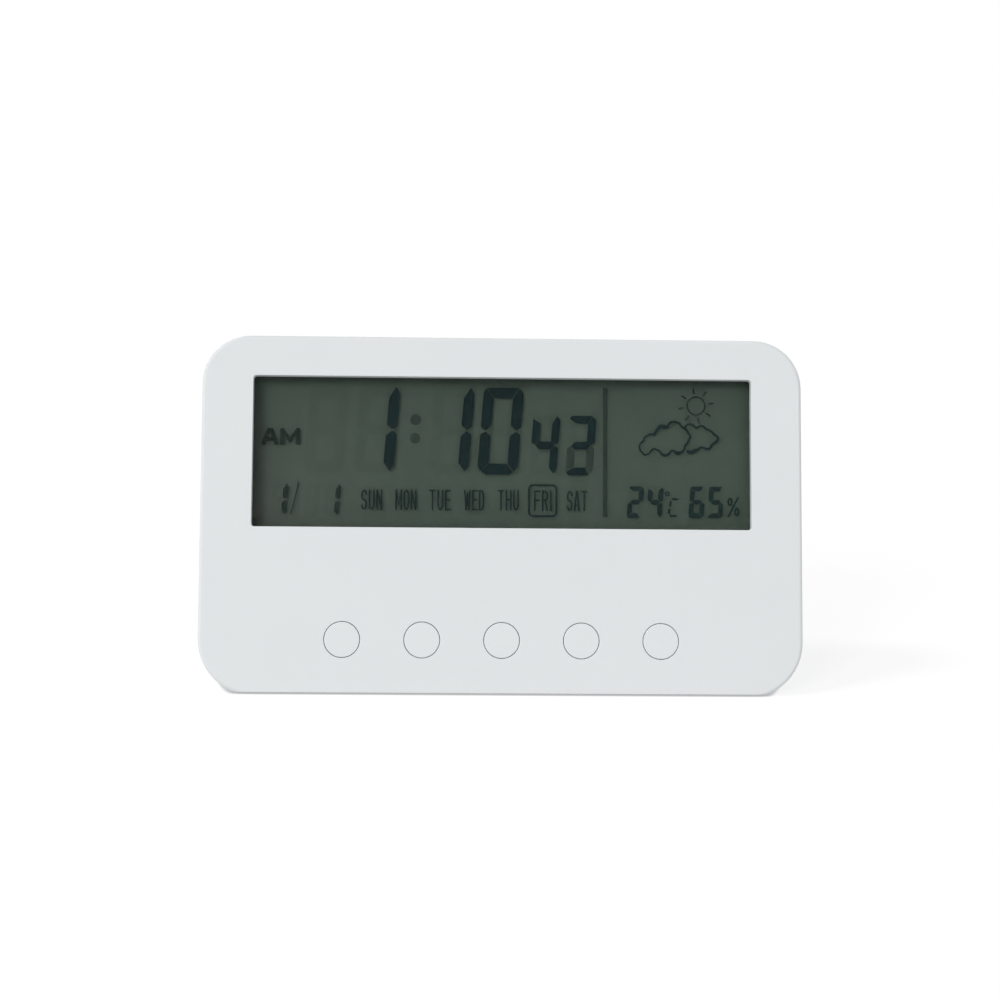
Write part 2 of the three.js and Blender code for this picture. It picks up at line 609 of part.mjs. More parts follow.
function displayFrame() {
  const innerX = GLASS_HALF + CLEARANCE;
  const innerBottom = GLASS_BOTTOM - GLASS_LEDGE - CLEARANCE;
  const innerTop = GLASS_TOP + CLEARANCE;
  const front = LENS_FRONT + LENS_THICKNESS + CLEARANCE;
  const block = box(-innerX - FRAME_WALL, innerX + FRAME_WALL, front, BOARD_SEAT,
    innerBottom - FRAME_WALL, innerTop + FRAME_WALL);
  const pocket = box(-innerX, innerX, 0, PAD_FRONT, innerBottom, innerTop);
  const opening = box(-innerX + FRAME_LEDGE, innerX - FRAME_LEDGE, 0, BOARD_DEPTH,
    GLASS_BOTTOM + FRAME_LEDGE, innerTop - FRAME_LEDGE);
  const slotHalf = ZEBRA_HALF + CLEARANCE;
  const slot = box(-slotHalf, slotHalf, 0, BOARD_DEPTH, GLASS_BOTTOM - GLASS_LEDGE,
    GLASS_BOTTOM - CLEARANCE);
  return block.subtract(pocket).subtract(opening).subtract(slot);
}

function displayPad() {
  const half = GLASS_HALF - FRAME_LEDGE;
  return box(-half, half, PAD_FRONT, BOARD_SEAT, GLASS_BOTTOM + FRAME_LEDGE + CLEARANCE,
    GLASS_TOP - FRAME_LEDGE);
}

function zebraStrip() {
  const middle = GLASS_BOTTOM - (GLASS_LEDGE + CLEARANCE) / 2;
  const front = GLASS_FRONT + GLASS_THICKNESS + CLEARANCE;
  return box(-ZEBRA_HALF, ZEBRA_HALF, front, BOARD_SEAT, middle - ZEBRA_HEIGHT / 2,
    middle + ZEBRA_HEIGHT / 2);
}

function mainBoard() {
  const board = box(-BOARD_WIDTH / 2, BOARD_WIDTH / 2, BOARD_DEPTH, BOARD_REAR, BOARD_BOTTOM, BOARD_TOP);
  const holes = BOARD_SCREW_X.map((x) => {
    return rodAlongY(BOARD_SCREW_RADIUS + CLEARANCE, 0, BOARD_REAR + BITE, x, BOARD_SCREW_HEIGHT);
  });
  return board.subtract(joined(holes));
}

// Push button cap, its flange behind the face and the stem that meets the switch
function buttonCap() {
  const edge = quarterSteps().map((angle) => [
    BUTTON_RADIUS - BUTTON_EDGE_RADIUS * (1 - Math.sin(angle)),
    BUTTON_EDGE_RADIUS * (1 - Math.cos(angle)),
  ]);
  return turnedAlongY([
    [0, 0],
    ...edge,
    [BUTTON_RADIUS, FLANGE_FRONT],
    [BUTTON_FLANGE_RADIUS, FLANGE_FRONT],
    [BUTTON_FLANGE_RADIUS, FLANGE_REAR],
    [BUTTON_STEM_RADIUS, FLANGE_REAR],
    [BUTTON_STEM_RADIUS, STEM_REAR],
    [0, STEM_REAR],
  ]);
}

function switchBody() {
  const half = SWITCH_SIZE / 2;
  const boreEnd = PLUNGER_FRONT + PLUNGER_LENGTH + BUTTON_TRAVEL + CLEARANCE;
  const block = box(-half, half, SWITCH_FRONT, BOARD_SEAT, -half, half);
  return block.subtract(rodAlongY(PLUNGER_RADIUS + PLUNGER_CLEARANCE, 0, boreEnd));
}

function switchPlunger() {
  return rodAlongY(PLUNGER_RADIUS, PLUNGER_FRONT, PLUNGER_FRONT + PLUNGER_LENGTH);
}

// Pan-head screw whose head's seat is at the origin, pointing towards -Y
function screw(radius, length, headRadius, headHeight) {
  const tip = radius / 2;
  const body = turnedAlongY([
    [0, -length],
    [tip, -length],
    [radius, -length + radius],
    [radius, 0],
    [headRadius, 0],
    [headRadius, headHeight / 2],
    [headRadius * SCREW_CROWN_SHARE, headHeight],
    [0, headHeight],
  ], SMALL_ROUND);
  const slotHalf = headRadius * SCREW_SLOT_WIDTH_SHARE / 2;
  const slotReach = headRadius * SCREW_SLOT_REACH_SHARE;
  const slotFloor = headHeight / 2;
  const wide = box(-slotReach, slotReach, slotFloor, headHeight + BITE, -slotHalf, slotHalf);
  const tall = box(-slotHalf, slotHalf, slotFloor, headHeight + BITE, -slotReach, slotReach);
  return body.subtract(wide.add(tall));
}

// Battery cell along X with its nub towards -X and its middle at the origin
function cell() {
  const half = CELL_LENGTH / 2;
  const can = rodAlongX(CELL_RADIUS, -half + CELL_NUB_LENGTH, half, 0, 0, ROUND);
  return can.add(rodAlongX(CELL_NUB_RADIUS, -half, -half + CELL_NUB_LENGTH + BITE));
}

// Conical contact spring along +X from its large end at the origin
class SpringPath extends THREE.Curve {
  getPoint(t, target = new THREE.Vector3()) {
    const radius = THREE.MathUtils.lerp(SPRING_LARGE_RADIUS, SPRING_SMALL_RADIUS, t);
    const angle = t * SPRING_TURNS * 2 * Math.PI;
    const run = SPRING_LENGTH - 2 * CLEARANCE - 2 * SPRING_WIRE_RADIUS;
    const x = CLEARANCE + SPRING_WIRE_RADIUS + t * run;
    return target.set(x, radius * Math.cos(angle), radius * Math.sin(angle));
  }
}

function roundSection(radius, sides) {
  const points = Array.from({ length: sides }, (_, i) => {
    const angle = (i / sides) * 2 * Math.PI;
    return new THREE.Vector2(radius * Math.cos(angle), radius * Math.sin(angle));
  });
  return new THREE.Shape(points);
}

function tube(path, radius, sides, steps) {
  return solid(new THREE.ExtrudeGeometry(roundSection(radius, sides), { steps, extrudePath: path }));
}

// Where a cell sits along X between its plate and its spring, for the nub towards -X
const CELL_SHIFT = -CELL_ROOM / 2 + CLEARANCE + CELL_LENGTH / 2;
const SPRING_FOOT = CELL_ROOM / 2;

function endPlate(zMiddle, height, side, withTail) {
  const inner = side * (CELL_ROOM / 2);
  const outer = inner + side * CONTACT_THICKNESS;
  const plate = box(Math.min(inner, outer), Math.max(inner, outer), -CELL_DEPTH - CONTACT_SIZE / 2,
    -CELL_DEPTH + CONTACT_SIZE / 2, zMiddle - height / 2, zMiddle + height / 2);
  if (!withTail) return plate;
  const tail = box(outer - CONTACT_THICKNESS / 2, outer + CLEARANCE + BAY_WALL + TAIL_LENGTH,
    -CELL_DEPTH - CONTACT_THICKNESS / 2, -CELL_DEPTH + CONTACT_THICKNESS / 2,
    zMiddle - TAIL_WIDTH / 2, zMiddle + TAIL_WIDTH / 2);
  return plate.add(tail);
}

// Battery door, with a round lower edge, two pivot pins and a grooved latch tongue at its top
function batteryDoor() {
  const half = DOOR_WIDTH / 2;
  const top = DOOR_HEIGHT / 2;
  const mid = -DOOR_THICKNESS / 2;
  const ring = (inset, y) => roundedRing(half - inset, inset - top, top - inset,
    DOOR_CORNER_RADIUS - inset, SMALL_CORNER_STEPS, () => y);
  const edge = quarterSteps().map((angle) => {
    return ring(DOOR_EDGE_RADIUS * (1 - Math.cos(angle)), -DOOR_EDGE_RADIUS * (1 - Math.sin(angle)));
  });
  const below = box(-FAR, FAR, -FAR, BITE, -FAR, DOOR_AXIS_HEIGHT - DOOR_BARREL_INSET);
  const plate = loft([ring(0, -DOOR_THICKNESS), ...edge]).subtract(below);
  const barrelRadius = DOOR_THICKNESS / 2 - DOOR_BARREL_INSET;
  const barrelEnd = half - DOOR_BARREL_INSET;
  const barrel = rodAlongX(barrelRadius, -barrelEnd, barrelEnd, mid, DOOR_AXIS_HEIGHT, ROUND);
  const pinEnd = half + DOOR_PIN_LENGTH;
  const pins = rodAlongX(DOOR_PIN_RADIUS, -pinEnd, pinEnd, mid, DOOR_AXIS_HEIGHT);
  return joined([plate, barrel, pins]).subtract(joined([...latchSlots(top), ...gripGrooves(top)]));
}

// Slots that free the latch tongue, and the grooves across it
function latchSlots(top) {
  return [-1, 1].map((side) => {
    const x = side * (LATCH_WIDTH + LATCH_SLOT) / 2;
    return box(x - LATCH_SLOT / 2, x + LATCH_SLOT / 2, -DOOR_THICKNESS - BITE, BITE,
      top - LATCH_LENGTH, DOOR_HEIGHT);
  });
}

function gripGrooves(top) {
  return Array.from({ length: GRIP_COUNT }, (_, i) => {
    const z = top - GRIP_INSET - i * GRIP_PITCH;
    return box(-GRIP_LENGTH / 2, GRIP_LENGTH / 2, -GRIP_DEPTH, BITE, z - GRIP_WIDTH / 2,
      z + GRIP_WIDTH / 2);
  });
}

function buzzer() {
  const front = -WALL - CLEARANCE;
  const back = front - BUZZER_THICKNESS;
  return turnedAlongY([
    [0, back],
    [BUZZER_RADIUS - BUZZER_EDGE, back],
    [BUZZER_RADIUS, back + BUZZER_EDGE],
    [BUZZER_RADIUS, front],
    [BUZZER_PORT_RADIUS, front],
    [BUZZER_PORT_RADIUS, front - BUZZER_PORT_DEPTH],
    [0, front - BUZZER_PORT_DEPTH],
  ]);
}

// Small parts on the back of the board, each with its seat at the origin and +Y away from it
function chipBlob() {
  const steps = quarterSteps();
  const dome = steps.map((angle) => [BLOB_RADIUS * Math.cos(angle), BLOB_HEIGHT * Math.sin(angle)]);
  dome[dome.length - 1][0] = 0;
  return turnedAlongY([[0, 0], ...dome], SMALL_ROUND);
}

function capacitor() {
  return turnedAlongY([
    [0, 0],
    [CAPACITOR_RADIUS, 0],
    [CAPACITOR_RADIUS, CAPACITOR_GROOVE_HEIGHT - CAPACITOR_GROOVE],
    [CAPACITOR_RADIUS - CAPACITOR_GROOVE, CAPACITOR_GROOVE_HEIGHT],
    [CAPACITOR_RADIUS, CAPACITOR_GROOVE_HEIGHT + CAPACITOR_GROOVE],
    [CAPACITOR_RADIUS, CAPACITOR_HEIGHT],
    [0, CAPACITOR_HEIGHT],
  ], SMALL_ROUND);
}

function humiditySensor() {
  const [width, depth, height] = SENSOR_SIZE;
  const block = box(-width / 2, width / 2, 0, depth, -height / 2, height / 2);
  const slots = slotPlaces().map((z) => box(-width / 3, width / 3, depth - SENSOR_SLOT_DEPTH,
    depth + BITE, z - GRILLE_SLOT_WIDTH / 2, z + GRILLE_SLOT_WIDTH / 2));
  return block.subtract(joined(slots));
}

function thermistor() {
  const bead = new THREE.SphereGeometry(THERMISTOR_RADIUS, BEAD_STEPS, BEAD_STEPS);
  const legs = [-1, 1].map((side) => rodAlongY(THERMISTOR_LEG_RADIUS, 0, THERMISTOR_LEG_LENGTH,
    side * THERMISTOR_RADIUS / 2, 0, LEAD_SIDES));
  return joined([solid(bead.translate(0, THERMISTOR_LEG_LENGTH, 0)), ...legs]);
}

// Insulated lead along a curve through points of the case frame
function lead(points) {
  const path = new THREE.CatmullRomCurve3(points.map((p) => new THREE.Vector3(...p)));
  return tube(path, LEAD_RADIUS, LEAD_SIDES, LEAD_STEPS);
}

function rearPoint(x, y, z) {
  return new THREE.Vector3(x, y, z).applyMatrix4(rearFrame).toArray();
}

// Leads from the contact tails and the buzzer to the board, each stopping a clearance short
const TAIL_END = BAY_HALF_LENGTH + BAY_WALL + TAIL_LENGTH + CLEARANCE;

function leadToBoard(start, turn, x, z) {
  return lead([start, turn, [x, BOARD_REAR + LEAD_BEND, z], [x, PARTS_SEAT, z]]);
}

function batteryLead(tailZ, boardZ) {
  const start = rearPoint(TAIL_END, -CELL_DEPTH, tailZ);
  const turn = rearPoint(TAIL_END + LEAD_BOW, -CELL_DEPTH - LEAD_BOW, tailZ);
  return leadToBoard(start, turn, BATTERY_LEAD_X, boardZ);
}

function buzzerLead(side) {
  const x = GRILLE_X + side * BUZZER_LEAD_SPREAD;
  const back = -WALL - BUZZER_THICKNESS - 2 * CLEARANCE;
  const turn = rearPoint(x, back - LEAD_BOW, -LEAD_BOW);
  return leadToBoard(rearPoint(x, back, 0), turn, x, BUZZER_LEAD_HEIGHT);
}

function footPad() {
  const height = FOOT_STAND + FOOT_RECESS - CLEARANCE;
  const shape = new THREE.CylinderGeometry(FOOT_RADIUS, FOOT_RADIUS, height, ROUND);
  return solid(shape.rotateX(Math.PI / 2).translate(0, 0, height / 2));
}

// Materials
function material(color, roughness, metalness = 0, opacity = 1) {
  const settings = { color, roughness, metalness, opacity, transparent: opacity < 1 };
  return new THREE.MeshStandardMaterial(settings);
}

const WHITE_PLASTIC = [0xe0e4e5, 0.55];
const CLEAR_PLASTIC = [0xe8eeea, 0.08, 0, 0.25];
const DISPLAY_GREEN = [0x5d6c5f, 0.7];
const LIGHT_PLASTIC = [0xd8dad6, 0.6];
const FOAM = [0x3a3c3e, 0.95];
const BOARD_GREEN = [0x1f5a3a, 0.5];
const BLACK_PLASTIC = [0x1c1d1f, 0.5];
const BLACK_RUBBER = [0x2a2b2c, 0.9];
const STEEL = [0xb9bcc0, 0.35, 0.9];
const BRASS = [0xb08d4a, 0.35, 0.9];
const BATTERY_JACKET = [0x3f6a8f, 0.4];
const SENSOR_BLUE = [0x3f7fb5, 0.55];
const CAPACITOR_SLEEVE = [0x24303f, 0.45];
const RED_LEAD = [0xa32424, 0.5];
const BLACK_LEAD = [0x18191a, 0.5];
const GREY_RUBBER = [0x9a9ea1, 0.9];

function piece(name, body, look, place = [0, 0, 0]) {
  const mesh = new THREE.Mesh(geometryOf(body), material(...look));
  mesh.name = name;
  mesh.position.set(...place);
  return mesh;
}

// Assembly
const clock = new THREE.Group();
clock.position.set(0, -BASE_DEPTH / 2, FOOT_STAND);
const leaning = new THREE.Group();
leaning.rotation.x = -LEAN;
const rear = new THREE.Group();
rear.position.set(0, rearDepth(BAY_HEIGHT), BAY_HEIGHT);
rear.rotation.x = REAR_SLOPE;
clock.add(leaning);
leaning.add(rear);

leaning.add(piece("front_cover", frontCover(), WHITE_PLASTIC));
leaning.add(piece("rear_cover", rearCover(), WHITE_PLASTIC));

leaning.add(piece("display_window", lens(), CLEAR_PLASTIC));
leaning.add(piece("front_polarizer", layer(POLARIZER_FRONT, POLARIZER_THICKNESS), CLEAR_PLASTIC));
const ledgeBottom = GLASS_BOTTOM - GLASS_LEDGE;
leaning.add(piece("front_glass", layer(GLASS_FRONT, GLASS_THICKNESS, ledgeBottom), CLEAR_PLASTIC));
leaning.add(piece("rear_glass", layer(REAR_GLASS_FRONT, GLASS_THICKNESS), CLEAR_PLASTIC));
leaning.add(piece("display_reflector", layer(REFLECTOR_FRONT, REFLECTOR_THICKNESS), DISPLAY_GREEN));
leaning.add(piece("display_frame", displayFrame(), LIGHT_PLASTIC));
leaning.add(piece("display_pad", displayPad(), FOAM));
leaning.add(piece("zebra_strip", zebraStrip(), GREY_RUBBER));
leaning.add(piece("main_board", mainBoard(), BOARD_GREEN));

buttonPlaces.forEach((x, i) => {
  const place = [x, 0, BUTTON_HEIGHT];
  leaning.add(piece("button_" + (i + 1), buttonCap(), WHITE_PLASTIC, place));
  leaning.add(piece("switch_body_" + (i + 1), switchBody(), BLACK_PLASTIC, place));
  leaning.add(piece("switch_plunger_" + (i + 1), switchPlunger(), LIGHT_PLASTIC, place));
});

caseScrewPlaces.forEach(([x, z], i) => {
  const length = CASE_SCREW_SEAT - FRONT_END + CASE_SCREW_BITE;
  const body = screw(CASE_SCREW_RADIUS, length, CASE_SCREW_HEAD_RADIUS, CASE_SCREW_HEAD_HEIGHT);
  leaning.add(piece("case_screw_" + (i + 1), body, STEEL, [x, CASE_SCREW_SEAT, z]));
});

BOARD_SCREW_X.forEach((x, i) => {
  const length = BOARD_SCREW_SEAT - BOARD_SEAT + BOARD_SCREW_BITE;
  const body = screw(BOARD_SCREW_RADIUS, length, BOARD_SCREW_HEAD_RADIUS, BOARD_SCREW_HEAD_HEIGHT);
  const place = [x, BOARD_SCREW_SEAT, BOARD_SCREW_HEIGHT];
  leaning.add(piece("board_screw_" + (i + 1), body, STEEL, place));
});

leaning.add(piece("chip_blob", chipBlob(), BLACK_PLASTIC, [0, PARTS_SEAT, PARTS_ROW_HEIGHT]));
const crystal = rodAlongX(CRYSTAL_RADIUS, -CRYSTAL_LENGTH / 2, CRYSTAL_LENGTH / 2, CRYSTAL_RADIUS);
leaning.add(piece("crystal_can", crystal, STEEL, [CRYSTAL_X, PARTS_SEAT, PARTS_ROW_HEIGHT]));
CAPACITOR_X.forEach((x, i) => {
  const place = [x, PARTS_SEAT, PARTS_ROW_HEIGHT];
  leaning.add(piece("capacitor_" + (i + 1), capacitor(), CAPACITOR_SLEEVE, place));
});
const sensorPlace = [-GRILLE_X, PARTS_SEAT, BAY_HEIGHT];
leaning.add(piece("humidity_sensor", humiditySensor(), SENSOR_BLUE, sensorPlace));
const beadPlace = [THERMISTOR_X, PARTS_SEAT, PARTS_ROW_HEIGHT];
leaning.add(piece("thermistor", thermistor(), BLACK_PLASTIC, beadPlace));

rear.add(piece("piezo_buzzer", buzzer(), BLACK_PLASTIC, [GRILLE_X, 0, 0]));
const cellMiddle = [CELL_SHIFT, -CELL_DEPTH, CELL_OFFSET];
const upperCell = piece("battery_1", cell(), BATTERY_JACKET, cellMiddle);
const lowerCell = piece("battery_2", cell(), BATTERY_JACKET, [-CELL_SHIFT, -CELL_DEPTH, -CELL_OFFSET]);
lowerCell.rotation.z = Math.PI;
rear.add(upperCell, lowerCell);

const springPath = new SpringPath();
const springSteps = SPRING_TURNS * SPRING_TURN_STEPS;
const springBody = () => tube(springPath, SPRING_WIRE_RADIUS, SPRING_SIDES, springSteps);
const upperSpring = piece("contact_spring_1", springBody(), STEEL, [SPRING_FOOT, -CELL_DEPTH, CELL_OFFSET]);
upperSpring.rotation.z = Math.PI;
const lowerSpring = piece("contact_spring_2", springBody(), STEEL, [-SPRING_FOOT, -CELL_DEPTH, -CELL_OFFSET]);
rear.add(upperSpring, lowerSpring);

const bridgeHeight = 2 * CELL_OFFSET + CONTACT_SIZE;
rear.add(piece("contact_bridge", endPlate(0, bridgeHeight, -1, false), STEEL));
rear.add(piece("contact_plate_1", endPlate(CELL_OFFSET, CONTACT_SIZE, 1, true), STEEL));
rear.add(piece("contact_plate_2", endPlate(-CELL_OFFSET, CONTACT_SIZE, 1, true), BRASS));
rear.add(piece("battery_door", batteryDoor(), WHITE_PLASTIC));

const [lowLead, highLead] = BATTERY_LEAD_HEIGHTS;
leaning.add(piece("battery_lead_red", batteryLead(-CELL_OFFSET, lowLead), RED_LEAD));
leaning.add(piece("battery_lead_black", batteryLead(CELL_OFFSET, highLead), BLACK_LEAD));
leaning.add(piece("buzzer_lead_red", buzzerLead(-1), RED_LEAD));
leaning.add(piece("buzzer_lead_black", buzzerLead(1), BLACK_LEAD));

footPlaces.forEach(([x, y], i) => {
  clock.add(piece("foot_pad_" + (i + 1), footPad(), BLACK_RUBBER, [x, y, -FOOT_STAND]));
});

export default clock;
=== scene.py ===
"""Looks of a desk digital clock: white case, liquid crystal display, push buttons and battery bay."""
import math

import bmesh
import bpy
from mathutils import Matrix, Vector


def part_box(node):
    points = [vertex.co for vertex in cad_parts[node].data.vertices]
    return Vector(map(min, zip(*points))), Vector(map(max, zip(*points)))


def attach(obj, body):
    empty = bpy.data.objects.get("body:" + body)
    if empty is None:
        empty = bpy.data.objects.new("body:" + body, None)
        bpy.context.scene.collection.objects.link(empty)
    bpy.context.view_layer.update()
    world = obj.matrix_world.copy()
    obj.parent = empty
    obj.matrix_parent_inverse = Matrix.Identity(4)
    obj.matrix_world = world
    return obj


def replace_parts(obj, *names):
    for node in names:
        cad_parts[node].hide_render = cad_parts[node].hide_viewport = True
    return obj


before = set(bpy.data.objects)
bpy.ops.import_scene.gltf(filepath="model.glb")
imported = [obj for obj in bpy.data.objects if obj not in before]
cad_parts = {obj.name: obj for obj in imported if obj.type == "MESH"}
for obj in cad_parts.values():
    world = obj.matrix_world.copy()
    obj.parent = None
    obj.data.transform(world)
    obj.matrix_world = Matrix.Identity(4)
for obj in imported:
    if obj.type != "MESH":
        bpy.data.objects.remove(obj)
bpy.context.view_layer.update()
MM = 0.001

# Case frame: X to the viewer's right, Y from the face into the case, Z up the leaning face, in millimetres
LEAN = math.radians(14)
CASE_HEIGHT = 80
TOP_DEPTH = 18
BASE_DEPTH = 46
FOOT_STAND = 0.5
case_place = Matrix.Translation(Vector((0, -BASE_DEPTH / 2, FOOT_STAND)) * MM)
CASE_FRAME = case_place @ Matrix.Rotation(-LEAN, 4, "X")
REAR_SLOPE = math.atan2(BASE_DEPTH * math.cos(LEAN) - TOP_DEPTH, CASE_HEIGHT - BASE_DEPTH * math.sin(LEAN))


def node_box(node, turn=CASE_FRAME):
    """Lowest and highest corners of a CAD node in a frame, in millimetres."""
    back = turn.inverted()
    points = [back @ v.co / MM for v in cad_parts[node].data.vertices]
    low = Vector([min(p[i] for p in points) for i in range(3)])
    high = Vector([max(p[i] for p in points) for i in range(3)])
    return low, high


# Rear frame: X as before, Y out of the rear wall, Z up it, from the middle of the battery bay
BAY_HEIGHT = 40
bay_depth = TOP_DEPTH + (CASE_HEIGHT - BAY_HEIGHT) * math.tan(REAR_SLOPE)
bay_place = Matrix.Translation(Vector((0, bay_depth, BAY_HEIGHT)) * MM)
REAR_FRAME = CASE_FRAME @ bay_place @ Matrix.Rotation(REAR_SLOPE, 4, "X")


# Camera, from a fit to the outline of the face
CAMERA_PLACE = Vector((-14.37, -455.84, 110.89)) * MM
CAMERA_AIM = Vector((-0.55, -12.56, 42.39)) * MM
CAMERA_ROLL = math.radians(0.756)
CAMERA_LENS = 72
CAMERA_SENSOR = 36
CAMERA_NEAR = 0.01


def make_camera():
    forward = (CAMERA_AIM - CAMERA_PLACE).normalized()
    level = forward.cross(Vector((0, 0, 1))).normalized()
    above = level.cross(forward)
    right = level * math.cos(CAMERA_ROLL) + above * math.sin(CAMERA_ROLL)
    up = above * math.cos(CAMERA_ROLL) - level * math.sin(CAMERA_ROLL)
    turn = Matrix((right, up, -forward)).transposed().to_4x4()
    data = bpy.data.cameras.new("camera")
    data.lens = CAMERA_LENS
    data.sensor_width = CAMERA_SENSOR
    data.clip_start = CAMERA_NEAR
    camera = bpy.data.objects.new("camera", data)
    camera.matrix_world = Matrix.Translation(CAMERA_PLACE) @ turn
    bpy.context.scene.collection.objects.link(camera)
    bpy.context.scene.camera = camera


# Light; the key travels 24 degrees to the right of the face's inward normal and 13 below it
FILL_STRENGTH = 0.52
KEY_TRAVEL = Vector((0.45, 0.914, -0.466))
KEY_STRENGTH = 0.9
KEY_ANGLE = 18
TOP_TRAVEL = Vector((0.6, 0.23, -1))
TOP_STRENGTH = 0.62
TOP_ANGLE = 12
SIDE_TRAVEL = Vector((1, 0.25, -0.15))
SIDE_STRENGTH = 0.35
SIDE_ANGLE = 50

# Floor: its paint, its glow as it is seen, the share of that which stays under the case, the reach of the
# ambient occlusion that dims it there as a painted contact shadow, its glow on things
FLOOR_SIZE = 8
FLOOR_DROP = 0.02
FLOOR_COLOR = (0.33, 0.33, 0.33, 1)
FLOOR_GLOW = 0.738
FLOOR_GLOW_UNDER = 0.1
FLOOR_SHADE_REACH = 0.9
FLOOR_BOUNCE = 0.4


def make_sun(name, travel, strength, angle):
    data = bpy.data.lights.new(name, "SUN")
    data.energy = strength
    data.angle = math.radians(angle)
    lamp = bpy.data.objects.new(name, data)
    lamp.rotation_euler = travel.to_track_quat("-Z", "Y").to_euler()
    bpy.context.scene.collection.objects.link(lamp)


def add_math(tree, operation, first, second):
    """The result of two sockets, or of a socket and a number."""
    node = tree.nodes.new("ShaderNodeMath")
    node.operation = operation
    tree.links.new(first, node.inputs[0])
    if isinstance(second, bpy.types.NodeSocket):
        tree.links.new(second, node.inputs[1])
    else:
        node.inputs[1].default_value = second
    return node.outputs[0]


def seen_or_mirrored(tree):
    """A socket that is 1 for camera, glossy and transmission rays, and 0 for the rays that light things."""
    path = tree.nodes.new("ShaderNodeLightPath")
    either = add_math(tree, "MAXIMUM", path.outputs["Is Camera Ray"], path.outputs["Is Glossy Ray"])
    return add_math(tree, "MAXIMUM", either, path.outputs["Is Transmission Ray"])


def make_world():
    world = bpy.data.worlds.new("studio")
    world.use_nodes = True
    tree = world.node_tree
    background = tree.nodes["Background"]
    background.inputs["Color"].default_value = (1, 1, 1, 1)
    strength = tree.nodes.new("ShaderNodeMapRange")
    strength.inputs["To Min"].default_value = FILL_STRENGTH
    strength.inputs["To Max"].default_value = 1
    tree.links.new(seen_or_mirrored(tree), strength.inputs["Value"])
    tree.links.new(strength.outputs["Result"], background.inputs["Strength"])
    bpy.context.scene.world = world


def make_floor():
    mesh = bpy.data.meshes.new("floor")
    half = FLOOR_SIZE / 2
    corners = [(-half, -half, 0), (half, -half, 0), (half, half, 0), (-half, half, 0)]
    mesh.from_pydata(corners, [], [(0, 1, 2, 3)])
    floor = bpy.data.objects.new("floor", mesh)
    floor.location.z = -FLOOR_DROP * MM
    bpy.context.scene.collection.objects.link(floor)
    mat = bpy.data.materials.new("floor")
    mat.use_nodes = True
    tree = mat.node_tree
    tree.nodes.remove(tree.nodes["Principled BSDF"])
    diffuse = tree.nodes.new("ShaderNodeBsdfDiffuse")
    diffuse.inputs["Color"].default_value = FLOOR_COLOR
    glow = tree.nodes.new("ShaderNodeEmission")
    # Ambient occlusion dims the floor's seen glow under and beside the case: a painted contact shadow
    contact_shade = tree.nodes.new("ShaderNodeAmbientOcclusion")
    contact_shade.inputs["Distance"].default_value = FLOOR_SHADE_REACH * MM
    share = tree.nodes.new("ShaderNodeMapRange")
    share.inputs["To Min"].default_value = FLOOR_BOUNCE
    both = tree.nodes.new("ShaderNodeAddShader")
    seen_glow = add_range(tree, contact_shade.outputs["AO"], FLOOR_GLOW_UNDER, FLOOR_GLOW, 0, 1)
    tree.links.new(seen_or_mirrored(tree), share.inputs["Value"])
    tree.links.new(seen_glow, share.inputs["To Max"])
    tree.links.new(share.outputs["Result"], glow.inputs["Strength"])
    tree.links.new(diffuse.outputs[0], both.inputs[0])
    tree.links.new(glow.outputs[0], both.inputs[1])
    tree.links.new(both.outputs[0], tree.nodes["Material Output"].inputs["Surface"])
    mesh.materials.append(mat)


# Material parts
def new_material(name):
    mat = bpy.data.materials.new(name)
    mat.use_nodes = True
    return mat, mat.node_tree, mat.node_tree.nodes["Principled BSDF"]


def object_place(tree):
    return tree.nodes.new("ShaderNodeTexCoord").outputs["Object"]


def object_axes(tree):
    """The X, Y and Z sockets of the object's own space."""
    split = tree.nodes.new("ShaderNodeSeparateXYZ")
    tree.links.new(object_place(tree), split.inputs["Vector"])
    return split.outputs


def add_noise(tree, size, detail=2):
    """Noise in the object's own space, with features of that many millimetres."""
    noise = tree.nodes.new("ShaderNodeTexNoise")
    noise.inputs["Scale"].default_value = 1 / (size * MM)
    noise.inputs["Detail"].default_value = detail
    tree.links.new(object_place(tree), noise.inputs["Vector"])
    return noise.outputs["Fac"]


# The part of the noise's range that its values fill
NOISE_SPREAD = (0.3, 0.7)


def add_range(tree, value, low, high, start=NOISE_SPREAD[0], end=NOISE_SPREAD[1]):
    span = tree.nodes.new("ShaderNodeMapRange")
    span.inputs["From Min"].default_value = start
    span.inputs["From Max"].default_value = end
    span.inputs["To Min"].default_value = low
    span.inputs["To Max"].default_value = high
    tree.links.new(value, span.inputs["Value"])
    return span.outputs["Result"]


def add_mix(tree, factor, first, second):
    mix = tree.nodes.new("ShaderNodeMix")
    mix.data_type = "RGBA"
    tree.links.new(factor, mix.inputs["Factor"])
    for socket, value in ((mix.inputs["A"], first), (mix.inputs["B"], second)):
        if isinstance(value, bpy.types.NodeSocket):
            tree.links.new(value, socket)
        else:
            socket.default_value = (*value, 1)
    return mix.outputs["Result"]


def add_bump(tree, height, depth):
    bump = tree.nodes.new("ShaderNodeBump")
    bump.inputs["Distance"].default_value = depth * MM
    tree.links.new(height, bump.inputs["Height"])
    return bump.outputs["Normal"]


def shaded(color, share):
    return tuple(min(1, c * share) for c in color)


# Sizes of the noises of a moulded surface, in millimetres, and what its roughness varies by
TINT_SIZE = 18
GLOSS_SIZE = 4
GLOSS_SPREAD = 0.05
GRAIN_DETAIL = 3


